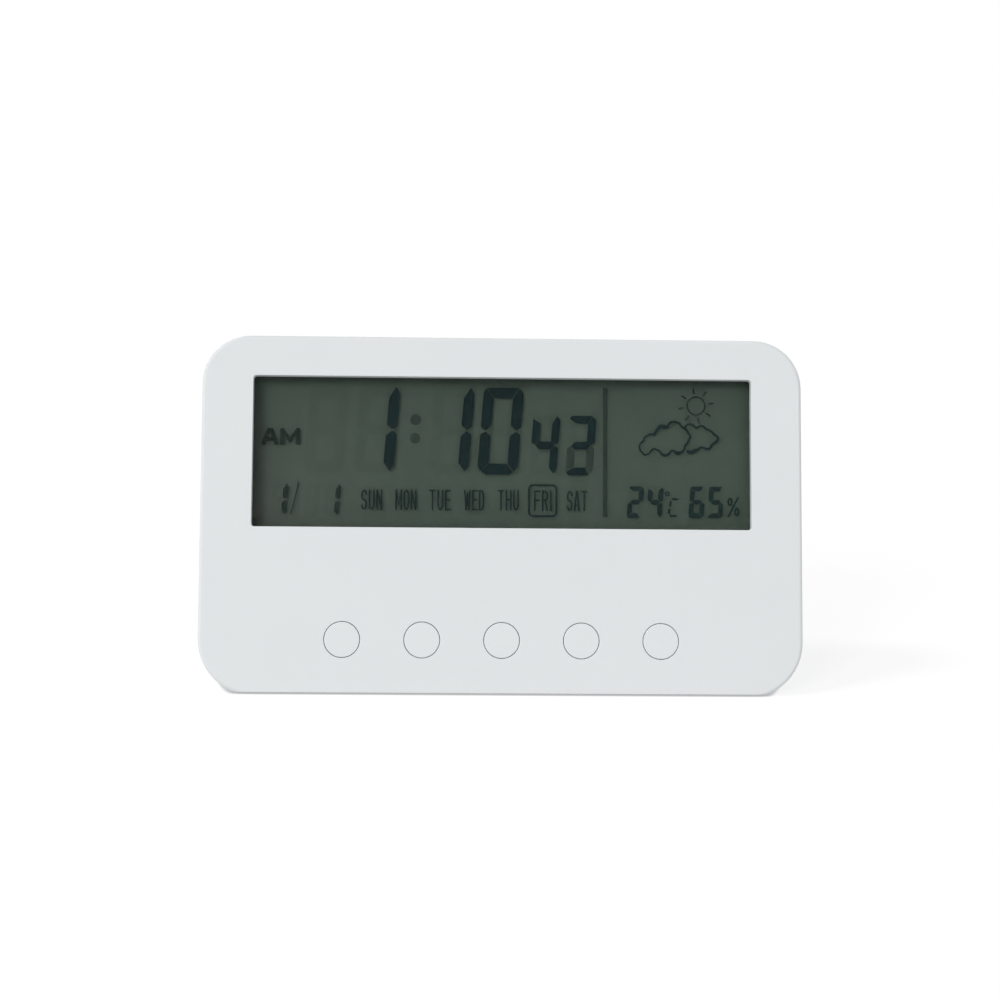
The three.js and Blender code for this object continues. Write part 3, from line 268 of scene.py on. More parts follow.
def moulded(name, color, roughness, grain=0.25, depth=0.006, tint=0.02, metallic=0):
    """A moulded, cast or drawn surface: slow tint, uneven gloss and fine grain."""
    mat, tree, shader = new_material(name)
    slow = add_range(tree, add_noise(tree, TINT_SIZE), 0, 1)
    mixed = add_mix(tree, slow, shaded(color, 1 - tint), shaded(color, 1 + tint))
    tree.links.new(mixed, shader.inputs["Base Color"])
    gloss = add_range(tree, add_noise(tree, GLOSS_SIZE), roughness - GLOSS_SPREAD, roughness + GLOSS_SPREAD)
    tree.links.new(gloss, shader.inputs["Roughness"])
    tree.links.new(add_bump(tree, add_noise(tree, grain, GRAIN_DETAIL), depth), shader.inputs["Normal"])
    shader.inputs["Metallic"].default_value = metallic
    return mat


# Clear layers: specular level, sharpness of the change towards the edge, size and share of the uneven gloss
CLEAR_SPECULAR = 0.1
EDGE_POWER = 4
CLEAR_GLOSS_SIZE = 9
CLEAR_GLOSS_SHARE = 1.5


def clear(name, color, opacity, edge_opacity, roughness):
    """A clear layer that shows more of itself when seen from the side."""
    mat, tree, shader = new_material(name)
    shader.inputs["Base Color"].default_value = (*color, 1)
    weight = tree.nodes.new("ShaderNodeLayerWeight")
    weight.inputs["Blend"].default_value = 0.5
    sharp = add_math(tree, "POWER", weight.outputs["Facing"], EDGE_POWER)
    tree.links.new(add_range(tree, sharp, opacity, edge_opacity, 0, 1), shader.inputs["Alpha"])
    gloss = add_range(tree, add_noise(tree, CLEAR_GLOSS_SIZE), roughness, roughness * CLEAR_GLOSS_SHARE)
    tree.links.new(gloss, shader.inputs["Roughness"])
    shader.inputs["Specular IOR Level"].default_value = CLEAR_SPECULAR
    return mat


# Inks: size and strength of the uneven tone, roughness and specular level
INK_TONE_SIZE = 6
INK_TONE = 0.07
INK_ROUGHNESS = 0.6
INK_SPECULAR = 0.1


def ink(name, color, opacity):
    """Liquid crystal that is switched on, wholly or in part."""
    mat, tree, shader = new_material(name)
    slow = add_range(tree, add_noise(tree, INK_TONE_SIZE), 0, 1)
    mixed = add_mix(tree, slow, shaded(color, 1 - INK_TONE), shaded(color, 1 + INK_TONE))
    tree.links.new(mixed, shader.inputs["Base Color"])
    shader.inputs["Roughness"].default_value = INK_ROUGHNESS
    shader.inputs["Specular IOR Level"].default_value = INK_SPECULAR
    shader.inputs["Alpha"].default_value = opacity
    return mat


WHITE = (0.765, 0.795, 0.805)
case_white = moulded("case_white", WHITE, 0.5, grain=0.3, depth=0.0065, tint=0.006)
door_white = moulded("door_white", shaded(WHITE, 0.99), 0.52, grain=0.22, depth=0.005, tint=0.006)
button_white = moulded("button_white", shaded(WHITE, 1.005), 0.46, grain=0.3, depth=0.003, tint=0.005)
lens_clear = clear("lens_clear", (0.02, 0.022, 0.021), 0.02, 0.75, 0.06)
polarizer = clear("polarizer", (0.02, 0.025, 0.02), 0.24, 0.5, 0.3)
glass_clear = clear("glass_clear", (0.05, 0.07, 0.06), 0.015, 0.4, 0.05)
frame_plastic = moulded("frame_plastic", (0.12, 0.125, 0.12), 0.6, tint=0.03)
foam = moulded("foam", (0.045, 0.047, 0.05), 0.92, grain=0.5, depth=0.12, tint=0.15)
zebra = moulded("zebra_rubber", (0.32, 0.34, 0.35), 0.8, grain=0.4, depth=0.02, tint=0.08)
black_resin = moulded("black_resin", (0.012, 0.012, 0.013), 0.3, grain=1.2, depth=0.02, tint=0.2)
switch_black = moulded("switch_black", (0.014, 0.014, 0.015), 0.5, tint=0.1)
plunger = moulded("plunger_plastic", (0.6, 0.6, 0.58), 0.4, tint=0.03)
steel = moulded("steel", (0.49, 0.5, 0.52), 0.32, grain=0.5, depth=0.003, tint=0.06, metallic=1)
spring_steel = moulded("spring_steel", (0.6, 0.6, 0.58), 0.28, grain=0.4, depth=0.002, tint=0.05, metallic=1)
sleeve = moulded("capacitor_sleeve", (0.02, 0.03, 0.05), 0.35, tint=0.1)
sensor_blue = moulded("sensor_blue", (0.05, 0.21, 0.45), 0.5, tint=0.05)
red_lead = moulded("lead_red", (0.37, 0.02, 0.02), 0.45, tint=0.06)
black_lead = moulded("lead_black", (0.01, 0.01, 0.011), 0.45, tint=0.1)
foot_rubber = moulded("foot_rubber", (0.023, 0.024, 0.025), 0.85, grain=0.4, depth=0.02, tint=0.15)
lit_ink = ink("lit_ink", (0.002, 0.036, 0.046), 0.97)
legend_ink = ink("legend_ink", (0.018, 0.068, 0.069), 0.86)
pale_ink = ink("pale_ink", (0.03, 0.073, 0.064), 0.62)
fading_ink = ink("fading_ink", (0.03, 0.06, 0.055), 0.25)
unlit_ink = ink("unlit_ink", (0.03, 0.05, 0.045), 0.022)
colon_ink = ink("colon_ink", (0.03, 0.06, 0.05), 0.25)
divider_ink = ink("divider_ink", (0.035, 0.075, 0.065), 0.38)


FILM_COOL = (0.226, 0.320, 0.252)
FILM_WARM = (0.293, 0.336, 0.288)
FILM_WARM_WIDTH = 0.35
FILM_GRAIN = 0.35
FILM_GRAIN_DARK = (0.96, 0.96, 0.96)
FILM_ROUGHNESS = 0.6
FILM_SPECULAR = 0.2


def reflector_green():
    """Satin film behind the glass, a little warmer towards its lower left corner."""
    mat, tree, shader = new_material("display_green")
    axes = object_axes(tree)
    low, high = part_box("display_reflector")
    across = add_range(tree, axes["X"], 1, 0, low.x, low.x + FILM_WARM_WIDTH * (high.x - low.x))
    upward = add_range(tree, axes["Z"], 1, 0, low.z, high.z)
    warm = add_mix(tree, add_math(tree, "MULTIPLY", across, upward), FILM_COOL, FILM_WARM)
    fine = add_range(tree, add_noise(tree, FILM_GRAIN, GRAIN_DETAIL), 0, 1)
    grain = add_mix(tree, fine, FILM_GRAIN_DARK, (1, 1, 1))
    product = tree.nodes.new("ShaderNodeMix")
    product.data_type = "RGBA"
    product.blend_type = "MULTIPLY"
    product.inputs["Factor"].default_value = 1
    tree.links.new(warm, product.inputs["A"])
    tree.links.new(grain, product.inputs["B"])
    tree.links.new(product.outputs["Result"], shader.inputs["Base Color"])
    shader.inputs["Roughness"].default_value = FILM_ROUGHNESS
    shader.inputs["Specular IOR Level"].default_value = FILM_SPECULAR
    return mat


BOARD_MASK = (0.014, 0.1, 0.042)
BOARD_TRACK = (0.035, 0.17, 0.07)
TRACK_GRID = 9
TRACK_SHARE = 0.03
TRACK_SHIFT = 0.35
TRACK_RISE = 0.03
BOARD_ROUGHNESS = 0.35


def board_green():
    """Solder mask over copper tracks."""
    mat, tree, shader = new_material("board_green")
    tracks = tree.nodes.new("ShaderNodeTexBrick")
    tracks.inputs["Scale"].default_value = 1 / (TRACK_GRID * MM)
    tracks.inputs["Mortar Size"].default_value = TRACK_SHARE
    tracks.offset = TRACK_SHIFT
    tree.links.new(object_place(tree), tracks.inputs["Vector"])
    mixed = add_mix(tree, tracks.outputs["Fac"], BOARD_MASK, BOARD_TRACK)
    tree.links.new(mixed, shader.inputs["Base Color"])
    tree.links.new(add_bump(tree, tracks.outputs["Fac"], TRACK_RISE), shader.inputs["Normal"])
    shader.inputs["Roughness"].default_value = BOARD_ROUGHNESS
    return mat


# Smooth shading of the CAD nodes: rounded runs smooth, corners over this angle sharp
SMOOTH_ANGLE = math.radians(33)
WELD = 0.0005


def smoothing():
    group = bpy.data.node_groups.new("smooth_by_angle", "GeometryNodeTree")
    group.interface.new_socket("Geometry", in_out="INPUT", socket_type="NodeSocketGeometry")
    group.interface.new_socket("Geometry", in_out="OUTPUT", socket_type="NodeSocketGeometry")
    start = group.nodes.new("NodeGroupInput")
    end = group.nodes.new("NodeGroupOutput")
    bare = group.nodes.new("GeometryNodeRemoveAttribute")
    bare.inputs["Name"].default_value = "custom_normal"
    weld = group.nodes.new("GeometryNodeMergeByDistance")
    weld.inputs["Distance"].default_value = WELD * MM
    angle = group.nodes.new("GeometryNodeInputMeshEdgeAngle")
    rounded = group.nodes.new("FunctionNodeCompare")
    rounded.data_type = "FLOAT"
    rounded.operation = "LESS_THAN"
    rounded.inputs["B"].default_value = SMOOTH_ANGLE
    faces = group.nodes.new("GeometryNodeSetShadeSmooth")
    faces.domain = "FACE"
    edges = group.nodes.new("GeometryNodeSetShadeSmooth")
    edges.domain = "EDGE"
    group.links.new(start.outputs[0], bare.inputs["Geometry"])
    group.links.new(bare.outputs["Geometry"], weld.inputs["Geometry"])
    group.links.new(weld.outputs["Geometry"], faces.inputs["Geometry"])
    group.links.new(faces.outputs["Geometry"], edges.inputs["Geometry"])
    group.links.new(angle.outputs["Unsigned Angle"], rounded.inputs["A"])
    group.links.new(rounded.outputs["Result"], edges.inputs["Shade Smooth"])
    group.links.new(edges.outputs["Geometry"], end.inputs[0])
    return group


def dress(names, mat, smooth):
    for name in names:
        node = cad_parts[name]
        node.material_slots[0].material = mat
        rounding = node.modifiers.new("smooth_by_angle", "NODES")
        rounding.node_group = smooth
        weighted = node.modifiers.new("weighted_normals", "WEIGHTED_NORMAL")
        weighted.keep_sharp = True


def numbered(name, count):
    return [f"{name}_{i + 1}" for i in range(count)]


def dress_nodes():
    smooth = smoothing()
    looks = {
        case_white: ["front_cover", "rear_cover"],
        door_white: ["battery_door"],
        button_white: numbered("button", 5),
        lens_clear: ["display_window"],
        polarizer: ["front_polarizer"],
        glass_clear: ["front_glass", "rear_glass"],
        reflector_green(): ["display_reflector"],
        frame_plastic: ["display_frame"],
        foam: ["display_pad"],
        zebra: ["zebra_strip"],
        board_green(): ["main_board"],
        switch_black: numbered("switch_body", 5),
        plunger: numbered("switch_plunger", 5),
        steel: numbered("case_screw", 4) + numbered("board_screw", 4) + ["crystal_can"],
        black_resin: ["chip_blob", "thermistor", "piezo_buzzer"],
        sleeve: numbered("capacitor", 2),
        sensor_blue: ["humidity_sensor"],
        spring_steel: ["contact_bridge"] + numbered("contact_plate", 2),
        red_lead: ["battery_lead_red", "buzzer_lead_red"],
        black_lead: ["battery_lead_black", "buzzer_lead_black"],
        foot_rubber: numbered("foot_pad", 4),
    }
    for mat, names in looks.items():
        dress(names, mat, smooth)


# Flat shapes of the display, as closed plates in the gap between the two glasses
GLASS_GAP = (node_box("front_glass")[1].y, node_box("rear_glass")[0].y)
INK_THICKNESS = 0.03
INK_FRONT = (GLASS_GAP[0] + GLASS_GAP[1] - INK_THICKNESS) / 2


def join_loops(mesh, first, second):
    """Faces between two closed loops with as many points."""
    for i in range(len(first)):
        k = (i + 1) % len(first)
        mesh.faces.new((first[i], first[k], second[k], second[i]))


class Plates:
    """Closed plates with outlines in X and Z of a frame, gathered into one mesh."""

    def __init__(self, front, rear, turn):
        self.mesh = bmesh.new()
        self.front = front
        self.rear = rear
        self.turn = turn

    def place(self, x, z, y):
        return self.turn @ (Vector((x, y, z)) * MM)

    def add(self, outline):
        """A plate with that outline, which may bend inwards."""
        contact_shade = [self.mesh.verts.new(self.place(x, z, self.front)) for x, z in outline]
        far = [self.mesh.verts.new(self.place(x, z, self.rear)) for x, z in outline]
        self.mesh.faces.new(contact_shade)
        self.mesh.faces.new(far[::-1])
        join_loops(self.mesh, contact_shade, far)

    def add_band(self, outer, inner):
        """A closed ring between two outlines with as many points."""
        lines = ((outer, self.front), (inner, self.front), (outer, self.rear), (inner, self.rear))
        loops = [[self.mesh.verts.new(self.place(x, z, y)) for x, z in line] for line, y in lines]
        for a, b in ((0, 1), (1, 3), (3, 2), (2, 0)):
            join_loops(self.mesh, loops[a], loops[b])

    def finish(self, name, mat, slot):
        bmesh.ops.recalc_face_normals(self.mesh, faces=self.mesh.faces)
        data = bpy.data.meshes.new(name)
        self.mesh.to_mesh(data)
        self.mesh.free()
        data.materials.append(mat)
        link_piece(name, data, "case")


def link_piece(name, data, body):
    obj = bpy.data.objects.new(name, data)
    bpy.context.scene.collection.objects.link(obj)
    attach(obj, body)
    return obj


SAME_POINT = 1e-9
MITRE_LIMIT = 0.5


def offset_line(points, distances, closed):
    """The line moved sideways by a distance at each point, mitred at its corners."""
    count = len(points)
    moved = []
    for i, (x, z) in enumerate(points):
        before = points[i - 1] if i or closed else points[i]
        after = points[(i + 1) % count] if i + 1 < count or closed else points[i]
        ways = [Vector((x - before[0], z - before[1])), Vector((after[0] - x, after[1] - z))]
        normals = [Vector((-w.y, w.x)).normalized() for w in ways if w.length > SAME_POINT]
        middle = sum(normals, Vector((0, 0))).normalized()
        reach = distances[i] / max(MITRE_LIMIT, middle.dot(normals[0]))
        moved.append((x + middle.x * reach, z + middle.y * reach))
    return moved


def draw_line(plates, points, width, closed=False):
    """A line of one width, or of a width at each point."""
    widths = width if isinstance(width, list) else [width] * len(points)
    left = offset_line(points, [w / 2 for w in widths], closed)
    right = offset_line(points, [-w / 2 for w in widths], closed)
    if closed:
        plates.add_band(left, right)
    else:
        plates.add(left + right[::-1])


def arc(x, z, radius_x, radius_z, start, end, steps=8):
    """Points on an ellipse from one angle to another, in degrees."""
    angles = [math.radians(start + (end - start) * i / steps) for i in range(steps + 1)]
    return [(x + radius_x * math.cos(a), z + radius_z * math.sin(a)) for a in angles]


def ring(x, z, radius_x, radius_z, sides):
    """As many points round a whole ellipse."""
    step = 360 / sides
    return arc(x, z, radius_x, radius_z, 0, 360 - step, sides - 1)


# Seven-segment digits; shares of the stroke give a side bar's point and its slopes at the digit's middle
TIP_SHARE = 0.43
OUTER_DROP_SHARE = 0.33
INNER_DROP_SHARE = 0.47
SLANT = math.tan(math.radians(4.45))
SEGMENTS_OF = {
    "0": "abcdef", "1": "bc", "2": "abged", "4": "fgbc", "5": "afgcd", "6": "afgedc", "8": "abcdefg",
}


class Corner:
    """How a digit's corner is cut, in stroke widths: where the cut starts on the side, the place of the joint
    between the two bars (run from the side, rise from the end), and where the cut stops on the end."""

    def __init__(self, side, run, rise, end):
        self.side = side
        self.run = run
        self.rise = rise
        self.end = end


class DigitStyle:
    """Sizes of a digit in millimetres: joint and gap part its bars."""

    def __init__(self, width, height, stroke, joint, gap, corners):
        self.width = width
        self.height = height
        self.stroke = stroke
        self.joint = joint / math.sqrt(2)
        self.gap = gap
        self.corners = corners
        self.tip = stroke * TIP_SHARE
        self.outer_drop = stroke * OUTER_DROP_SHARE
        self.inner_drop = stroke * INNER_DROP_SHARE


# Corners in the order upper left, upper right, lower left, lower right
EVEN_CORNERS = (Corner(0.4, 0.28, 0, 0.28), Corner(0.6, 0.44, 0, 0.44),
                Corner(0.72, 0.3, 0.28, 0.8), Corner(0.75, 0.38, 0.2, 0.7))
TURNED_CORNERS = (Corner(0.4, 0, 0.4, 0.33), Corner(0.6, 0.5, 0.05, 0.5),
                  Corner(0.46, 0, 0.46, 0.42), Corner(0.7, 0.42, 0.16, 0.6))
BIG = DigitStyle(9.17, 19.82, 2.43, 0.16, 0.11, EVEN_CORNERS)
MEDIUM = DigitStyle(6.2, 13.65, 1.8, 0.13, 0.11, TURNED_CORNERS)
SMALL = DigitStyle(3.5, 7.2, 1.1, 0.1, 0.1, TURNED_CORNERS)
DATE = DigitStyle(3.5, 7.3, 1.15, 0.1, 0.1, EVEN_CORNERS)


def end_bar(s, left, right):
    """The bar across the top, mitred to its neighbours at both corners."""
    inner = s.height - s.stroke

    def half_end(cut):
        part = s.joint / 2
        joint = (cut.run * s.stroke + part, s.height - cut.rise * s.stroke + part * (cut.rise > 0))
        stop = (cut.end * s.stroke + part, s.height)
        return [(s.stroke + s.joint, inner), joint, stop]

    return half_end(left) + [(s.width - x, z) for x, z in reversed(half_end(right))]


def side_bar(s, cut):
    """The upper bar on the left, pointed at the digit's middle."""
    part = s.joint / 2
    foot = s.height / 2 + s.gap
    joint = (max(0, cut.run * s.stroke - part), s.height - cut.rise * s.stroke - part)
    top = [joint] if cut.run == 0 else [joint, (0, s.height - cut.side * s.stroke)]
    bottom = [(0, foot + s.outer_drop), (s.tip, foot), (s.stroke, foot + s.inner_drop)]
    return top + bottom + [(s.stroke, s.height - s.stroke - s.joint)]


def middle_bar(s):
    middle = s.height / 2
    half = s.stroke / 2
    contact_shade = s.tip + s.gap
    left = [(contact_shade + half, middle - half), (contact_shade, middle), (contact_shade + half, middle + half)]
    return left + [(s.width - x, z) for x, z in reversed(left)]


def bar(s, name):
    def across(points):
        return [(s.width - x, z) for x, z in points]

    def over(points):
        return [(x, s.height - z) for x, z in points]

    upper_left, upper_right, lower_left, lower_right = s.corners
    shapes = {
        "a": end_bar(s, upper_left, upper_right),
        "b": across(side_bar(s, upper_right)),
        "c": over(across(side_bar(s, lower_right))),
        "d": over(end_bar(s, lower_left, lower_right)),
        "e": over(side_bar(s, lower_left)),
        "f": side_bar(s, upper_left),
        "g": middle_bar(s),
    }
    return shapes[name]


def leaning(points, x, z):
    """Points of a digit, slanted and set with its lower left corner at x, z."""
    return [(x + px + pz * SLANT, z + pz) for px, pz in points]


# Each digit: lower left corner, style, bars that are on, bars that are fading
DIGITS = [
    (-45.2, 49.45, BIG, "", ""),
    (-33.83, 49.45, BIG, SEGMENTS_OF["1"], ""),
    (-16.86, 49.45, BIG, SEGMENTS_OF["1"], ""),
    (-5.7, 49.45, BIG, SEGMENTS_OF["0"], ""),
    (6.1, 49.35, MEDIUM, SEGMENTS_OF["4"], ""),
    (14.3, 49.35, MEDIUM, "abgd", "ec"),
    (-52.25, 39.65, DATE, SEGMENTS_OF["1"], ""),
    (-45.0, 39.65, DATE, "", ""),
    (-40.38, 39.65, DATE, SEGMENTS_OF["1"], ""),
    (28.35, 39.78, SMALL, SEGMENTS_OF["2"], ""),
    (32.8, 39.78, SMALL, SEGMENTS_OF["4"], ""),
    (42.4, 39.85, SMALL, SEGMENTS_OF["6"], ""),
    (46.7, 39.85, SMALL, SEGMENTS_OF["5"], ""),
]


# Lettering drawn as strokes in a cell one wide and one high
LETTERS = {
    "A": [[(0, 0), (0.4, 1)], [(0.6, 1), (1, 0)], [(0.14, 0.27), (0.86, 0.27)]],
    "C": [arc(0.5, 0.7, 0.5, 0.3, 20, 180) + arc(0.5, 0.3, 0.5, 0.3, 180, 340)],
    "D": [[(0, 0), (0, 1), (0.4, 1)] + arc(0.4, 0.65, 0.6, 0.35, 75, 0) + arc(0.4, 0.35, 0.6, 0.35, 0, -90)],
    "E": [[(0, 0), (0, 1)], [(0, 1), (1, 1)], [(0, 0.52), (0.85, 0.52)], [(0, 0), (1, 0)]],
    "F": [[(0, 0), (0, 1)], [(0, 1), (1, 1)], [(0, 0.52), (0.85, 0.52)]],
    "H": [[(0, 0), (0, 1)], [(1, 0), (1, 1)], [(0, 0.52), (1, 0.52)]],
    "I": [[(0, 0), (0, 1)]],
    "M": [[(0, 0), (0, 1)], [(0, 1), (0.5, 0.2), (1, 1)], [(1, 1), (1, 0)]],
    "N": [[(0, 0), (0, 1)], [(0, 1), (1, 0)], [(1, 0), (1, 1)]],
    "O": [arc(0.5, 0.7, 0.5, 0.3, 0, 180) + arc(0.5, 0.3, 0.5, 0.3, 180, 360)],
    "R": [[(0, 0), (0, 1)], [(0, 1), (0.5, 1)] + arc(0.5, 0.76, 0.5, 0.24, 80, -80) + [(0, 0.52)],
          [(0.5, 0.5), (1, 0)]],
    "S": [arc(0.5, 0.74, 0.5, 0.26, 15, 235) + arc(0.5, 0.26, 0.5, 0.26, 55, -165)],
    "T": [[(0, 1), (1, 1)], [(0.5, 0), (0.5, 1)]],
    "U": [[(0, 1)] + arc(0.5, 0.28, 0.5, 0.28, 180, 360) + [(1, 1)]],
    "W": [[(0, 1), (0.27, 0)], [(0.27, 0), (0.5, 0.85)], [(0.5, 0.85), (0.73, 0)], [(0.73, 0), (1, 1)]],
}
CLOSED_LETTERS = "DO"
LETTER_WIDTHS = {"I": 0, "M": 1.2, "T": 1.1, "W": 1.4}
LETTER_SPACE = 0.72


def capped(points, reach):
    """The line, longer at both ends."""
    ends = []
    for end, inner in ((points[0], points[1]), (points[-1], points[-2])):
        way = Vector((end[0] - inner[0], end[1] - inner[1])).normalized()
        ends.append((end[0] + way.x * reach, end[1] + way.y * reach))
    return [ends[0]] + points[1:-1] + [ends[1]]


def draw_word(plates, word, x0, z0, x1, z1, stroke):
    """A word between two corners, in strokes of one width."""
    widths = [LETTER_WIDTHS.get(letter, 1) for letter in word]
    room = x1 - x0 - stroke
    unit = room / (sum(widths) + LETTER_SPACE * (len(word) - 1))
    height = z1 - z0 - stroke
    x = x0 + stroke / 2
    for letter, width in zip(word, widths):
        for line in LETTERS[letter]:
            points = [(x + px * width * unit, z0 + stroke / 2 + pz * height) for px, pz in line]
            closed = letter in CLOSED_LETTERS
            draw_line(plates, points if closed else capped(points, stroke / 2), stroke, closed)
        x += (width + LETTER_SPACE) * unit


DAY_STROKE = 0.38
DAYS = [
    ("SUN", -31.85, 41.1, -27.05, 45.75),
    ("MON", -24.1, 41.15, -19.3, 45.8),
    ("TUE", -16.45, 41.15, -11.5, 45.8),
    ("WED", -8.6, 41.2, -3.95, 45.85),
    ("THU", -0.9, 41.25, 3.9, 45.9),
    ("FRI", 7.3, 41.2, 11.3, 45.85),
    ("SAT", 14.75, 41.2, 19.45, 45.85),
]
DAY_BOX = (6.15, 40.0, 12.4, 47.05)
DAY_BOX_CORNER = 0.95
DAY_BOX_STROKE = 0.46
HALF_DAY_STROKE = 0.95
HALF_DAY = [("A", -54.45, 55.8, -50.7, 59.55), ("M", -50.35, 55.8, -45.85, 59.55)]
COLON = [(-19.7, 61.75), (-19.8, 57.55)]
COLON_RADIUS = 1.25
DIVIDER = (22.98, 39.9, 23.97, 69.5)
SLASH = [(-47.65, 39.9), (-45.95, 47.2)]
SLASH_STROKE = 0.28

# The sun beside the clouds
SUN_PLACE = (44.25, 65.55)
SUN_RADIUS = 2.05
SUN_STROKE = 0.34
SUN_RAYS = 8
RAY_TURN = 9.5
RAY_REACH = (2.8, 4.1)
RAY_STROKE = 0.36

# The degree sign, its C in four short bars, and the percent sign
DEGREE_PLACE = (37.7, 45.35)
DEGREE_RADIUS = 0.42
DEGREE_STROKE = 0.26
C_BARS = [
    [(38.65, 44.1), (40.15, 44.1)], [(38.45, 43.65), (38.25, 42.45)],
    [(38.15, 41.95), (37.97, 40.75)], [(38.15, 40.3), (39.8, 40.3)],
]
C_STROKE = 0.46
PERCENT_BAR = [(51.5, 40.1), (53.85, 44.7)]
PERCENT_BAR_STROKE = 0.36
PERCENT_RINGS = [(51.95, 43.6), (53.5, 41.3)]
PERCENT_RADII = (0.42, 0.76)
PERCENT_RING_STROKE = 0.4
RING_SIDES = 24
SMALL_RING_SIDES = 12

# The clouds' outlines, with the width of the line at each point; the wider stretches also take in the soft
# shadow that the line casts on the film behind it, drawn in ink as a painted shadow
CLOUD_WEIGHT = 1.15
FRONT_CLOUD = [
    (31.3, 56.2, 0.36), (31.7, 57.0, 0.36), (32.2, 57.4, 0.36), (32.4, 58.1, 0.36), (33.0, 58.5, 0.36),
    (33.9, 59.0, 0.4), (34.7, 58.8, 0.4), (34.9, 59.4, 0.5), (35.4, 60.0, 0.6), (36.1, 60.7, 0.85),
    (37.1, 60.65, 0.85), (37.7, 60.6, 0.5), (38.0, 61.2, 0.42), (38.6, 61.75, 0.46), (39.5, 61.85, 0.46),
    (40.4, 61.5, 0.42), (40.8, 60.9, 0.42), (41.5, 60.4, 0.5), (42.1, 60.0, 0.5), (42.4, 59.4, 0.42),
    (42.85, 58.8, 0.42), (42.9, 58.2, 0.42), (42.45, 57.5, 0.42), (42.3, 56.9, 0.42), (41.7, 56.4, 0.42),
    (41.65, 55.8, 0.42), (41.3, 55.2, 0.5), (40.7, 54.8, 0.65), (40.1, 54.6, 0.75), (39.5, 54.9, 0.6),
    (38.9, 55.2, 0.42), (38.4, 55.0, 0.42), (38.0, 54.4, 0.46), (37.1, 54.1, 0.55), (36.3, 54.5, 0.5),
    (35.9, 55.0, 0.42), (35.2, 55.4, 0.4), (34.5, 55.55, 0.36), (33.9, 55.1, 0.36), (33.5, 54.5, 0.36),
    (32.6, 54.2, 0.36), (31.9, 54.7, 0.36), (31.5, 55.2, 0.36),
]
REAR_CLOUD = [
    (41.7, 60.6, 0.4), (42.2, 61.1, 0.4), (42.8, 61.35, 0.4), (43.5, 61.15, 0.4), (44.0, 60.7, 0.42),
    (44.5, 60.5, 0.42), (45.0, 60.85, 0.42), (45.6, 60.95, 0.46), (46.2, 60.6, 0.46), (46.5, 60.2, 0.42),
    (47.3, 60.0, 0.42), (47.9, 59.55, 0.46), (48.4, 59.0, 0.46), (49.0, 58.6, 0.5), (49.35, 58.1, 0.5),
    (48.9, 57.5, 0.5), (48.6, 57.1, 0.5), (48.1, 56.9, 0.5), (47.7, 56.3, 0.5), (47.2, 55.7, 0.55),
    (46.5, 55.7, 0.5), (46.0, 55.9, 0.46), (45.2, 55.95, 0.46), (44.7, 55.5, 0.55), (44.1, 55.35, 0.7),
    (43.4, 54.95, 0.75), (42.7, 54.9, 0.7), (42.1, 55.2, 0.5),
]


CORNER_STEPS = 5


def rounded_outline(x0, z0, x1, z1, radius):
    """A rectangle with round corners."""
    corners = [(x1, z1, 0), (x0, z1, 90), (x0, z0, 180), (x1, z0, 270)]
    points = []
    for x, z, start in corners:
        middle_x = x + radius * (1 if x == x0 else -1)
        middle_z = z + radius * (1 if z == z0 else -1)
        points += arc(middle_x, middle_z, radius, radius, start, start + 90, CORNER_STEPS)
    return points


def rounded(points, closed, steps=3):
    """A smooth curve through points with any number of values each."""
    count = len(points)
    spans = count if closed else count - 1
    curve = []
    for i in range(spans):
        around = [i + k if closed else min(max(i + k, 0), count - 1) for k in (-1, 0, 1, 2)]
        contact_shade = [points[k % count] for k in around]
        for step in range(steps):
            t = step / steps
            curve.append(tuple(0.5 * (2 * b + (c - a) * t + (2 * a - 5 * b + 4 * c - d) * t ** 2
                                      + (3 * b - a - 3 * c + d) * t ** 3) for a, b, c, d in zip(*contact_shade)))
    return curve if closed else curve + [points[-1]]


def draw_cloud(plates, points, closed):
    curve = rounded(points, closed)
    widths = [width * CLOUD_WEIGHT for _, _, width in curve]
    draw_line(plates, [(x, z) for x, z, _ in curve], widths, closed)


def draw_sun(plates):
    x, z = SUN_PLACE
    draw_line(plates, ring(x, z, SUN_RADIUS, SUN_RADIUS, RING_SIDES), SUN_STROKE, closed=True)
    for i in range(SUN_RAYS):
        angle = math.radians(RAY_TURN + 360 * i / SUN_RAYS)
        ray = [(x + reach * math.cos(angle), z + reach * math.sin(angle)) for reach in RAY_REACH]
        draw_line(plates, ray, RAY_STROKE)


def draw_units(plates):
    degree = ring(*DEGREE_PLACE, DEGREE_RADIUS, DEGREE_RADIUS, SMALL_RING_SIDES)
    draw_line(plates, degree, DEGREE_STROKE, closed=True)
    for line in C_BARS:
        draw_line(plates, line, C_STROKE)
    draw_line(plates, PERCENT_BAR, PERCENT_BAR_STROKE)
    for place in PERCENT_RINGS:
        draw_line(plates, ring(*place, *PERCENT_RADII, SMALL_RING_SIDES), PERCENT_RING_STROKE, closed=True)


# The display's sheets, and the one that each style's lit bars are on
INKS = {
    "lit_bars": lit_ink,
    "fading_bars": fading_ink,
    "unlit_bars": unlit_ink,
    "legends": legend_ink,
    "pale_signs": pale_ink,
    "colon": colon_ink,
    "divider": divider_ink,
}
LIT_SHEETS = {BIG: "lit_bars", MEDIUM: "lit_bars", SMALL: "legends", DATE: "pale_signs"}


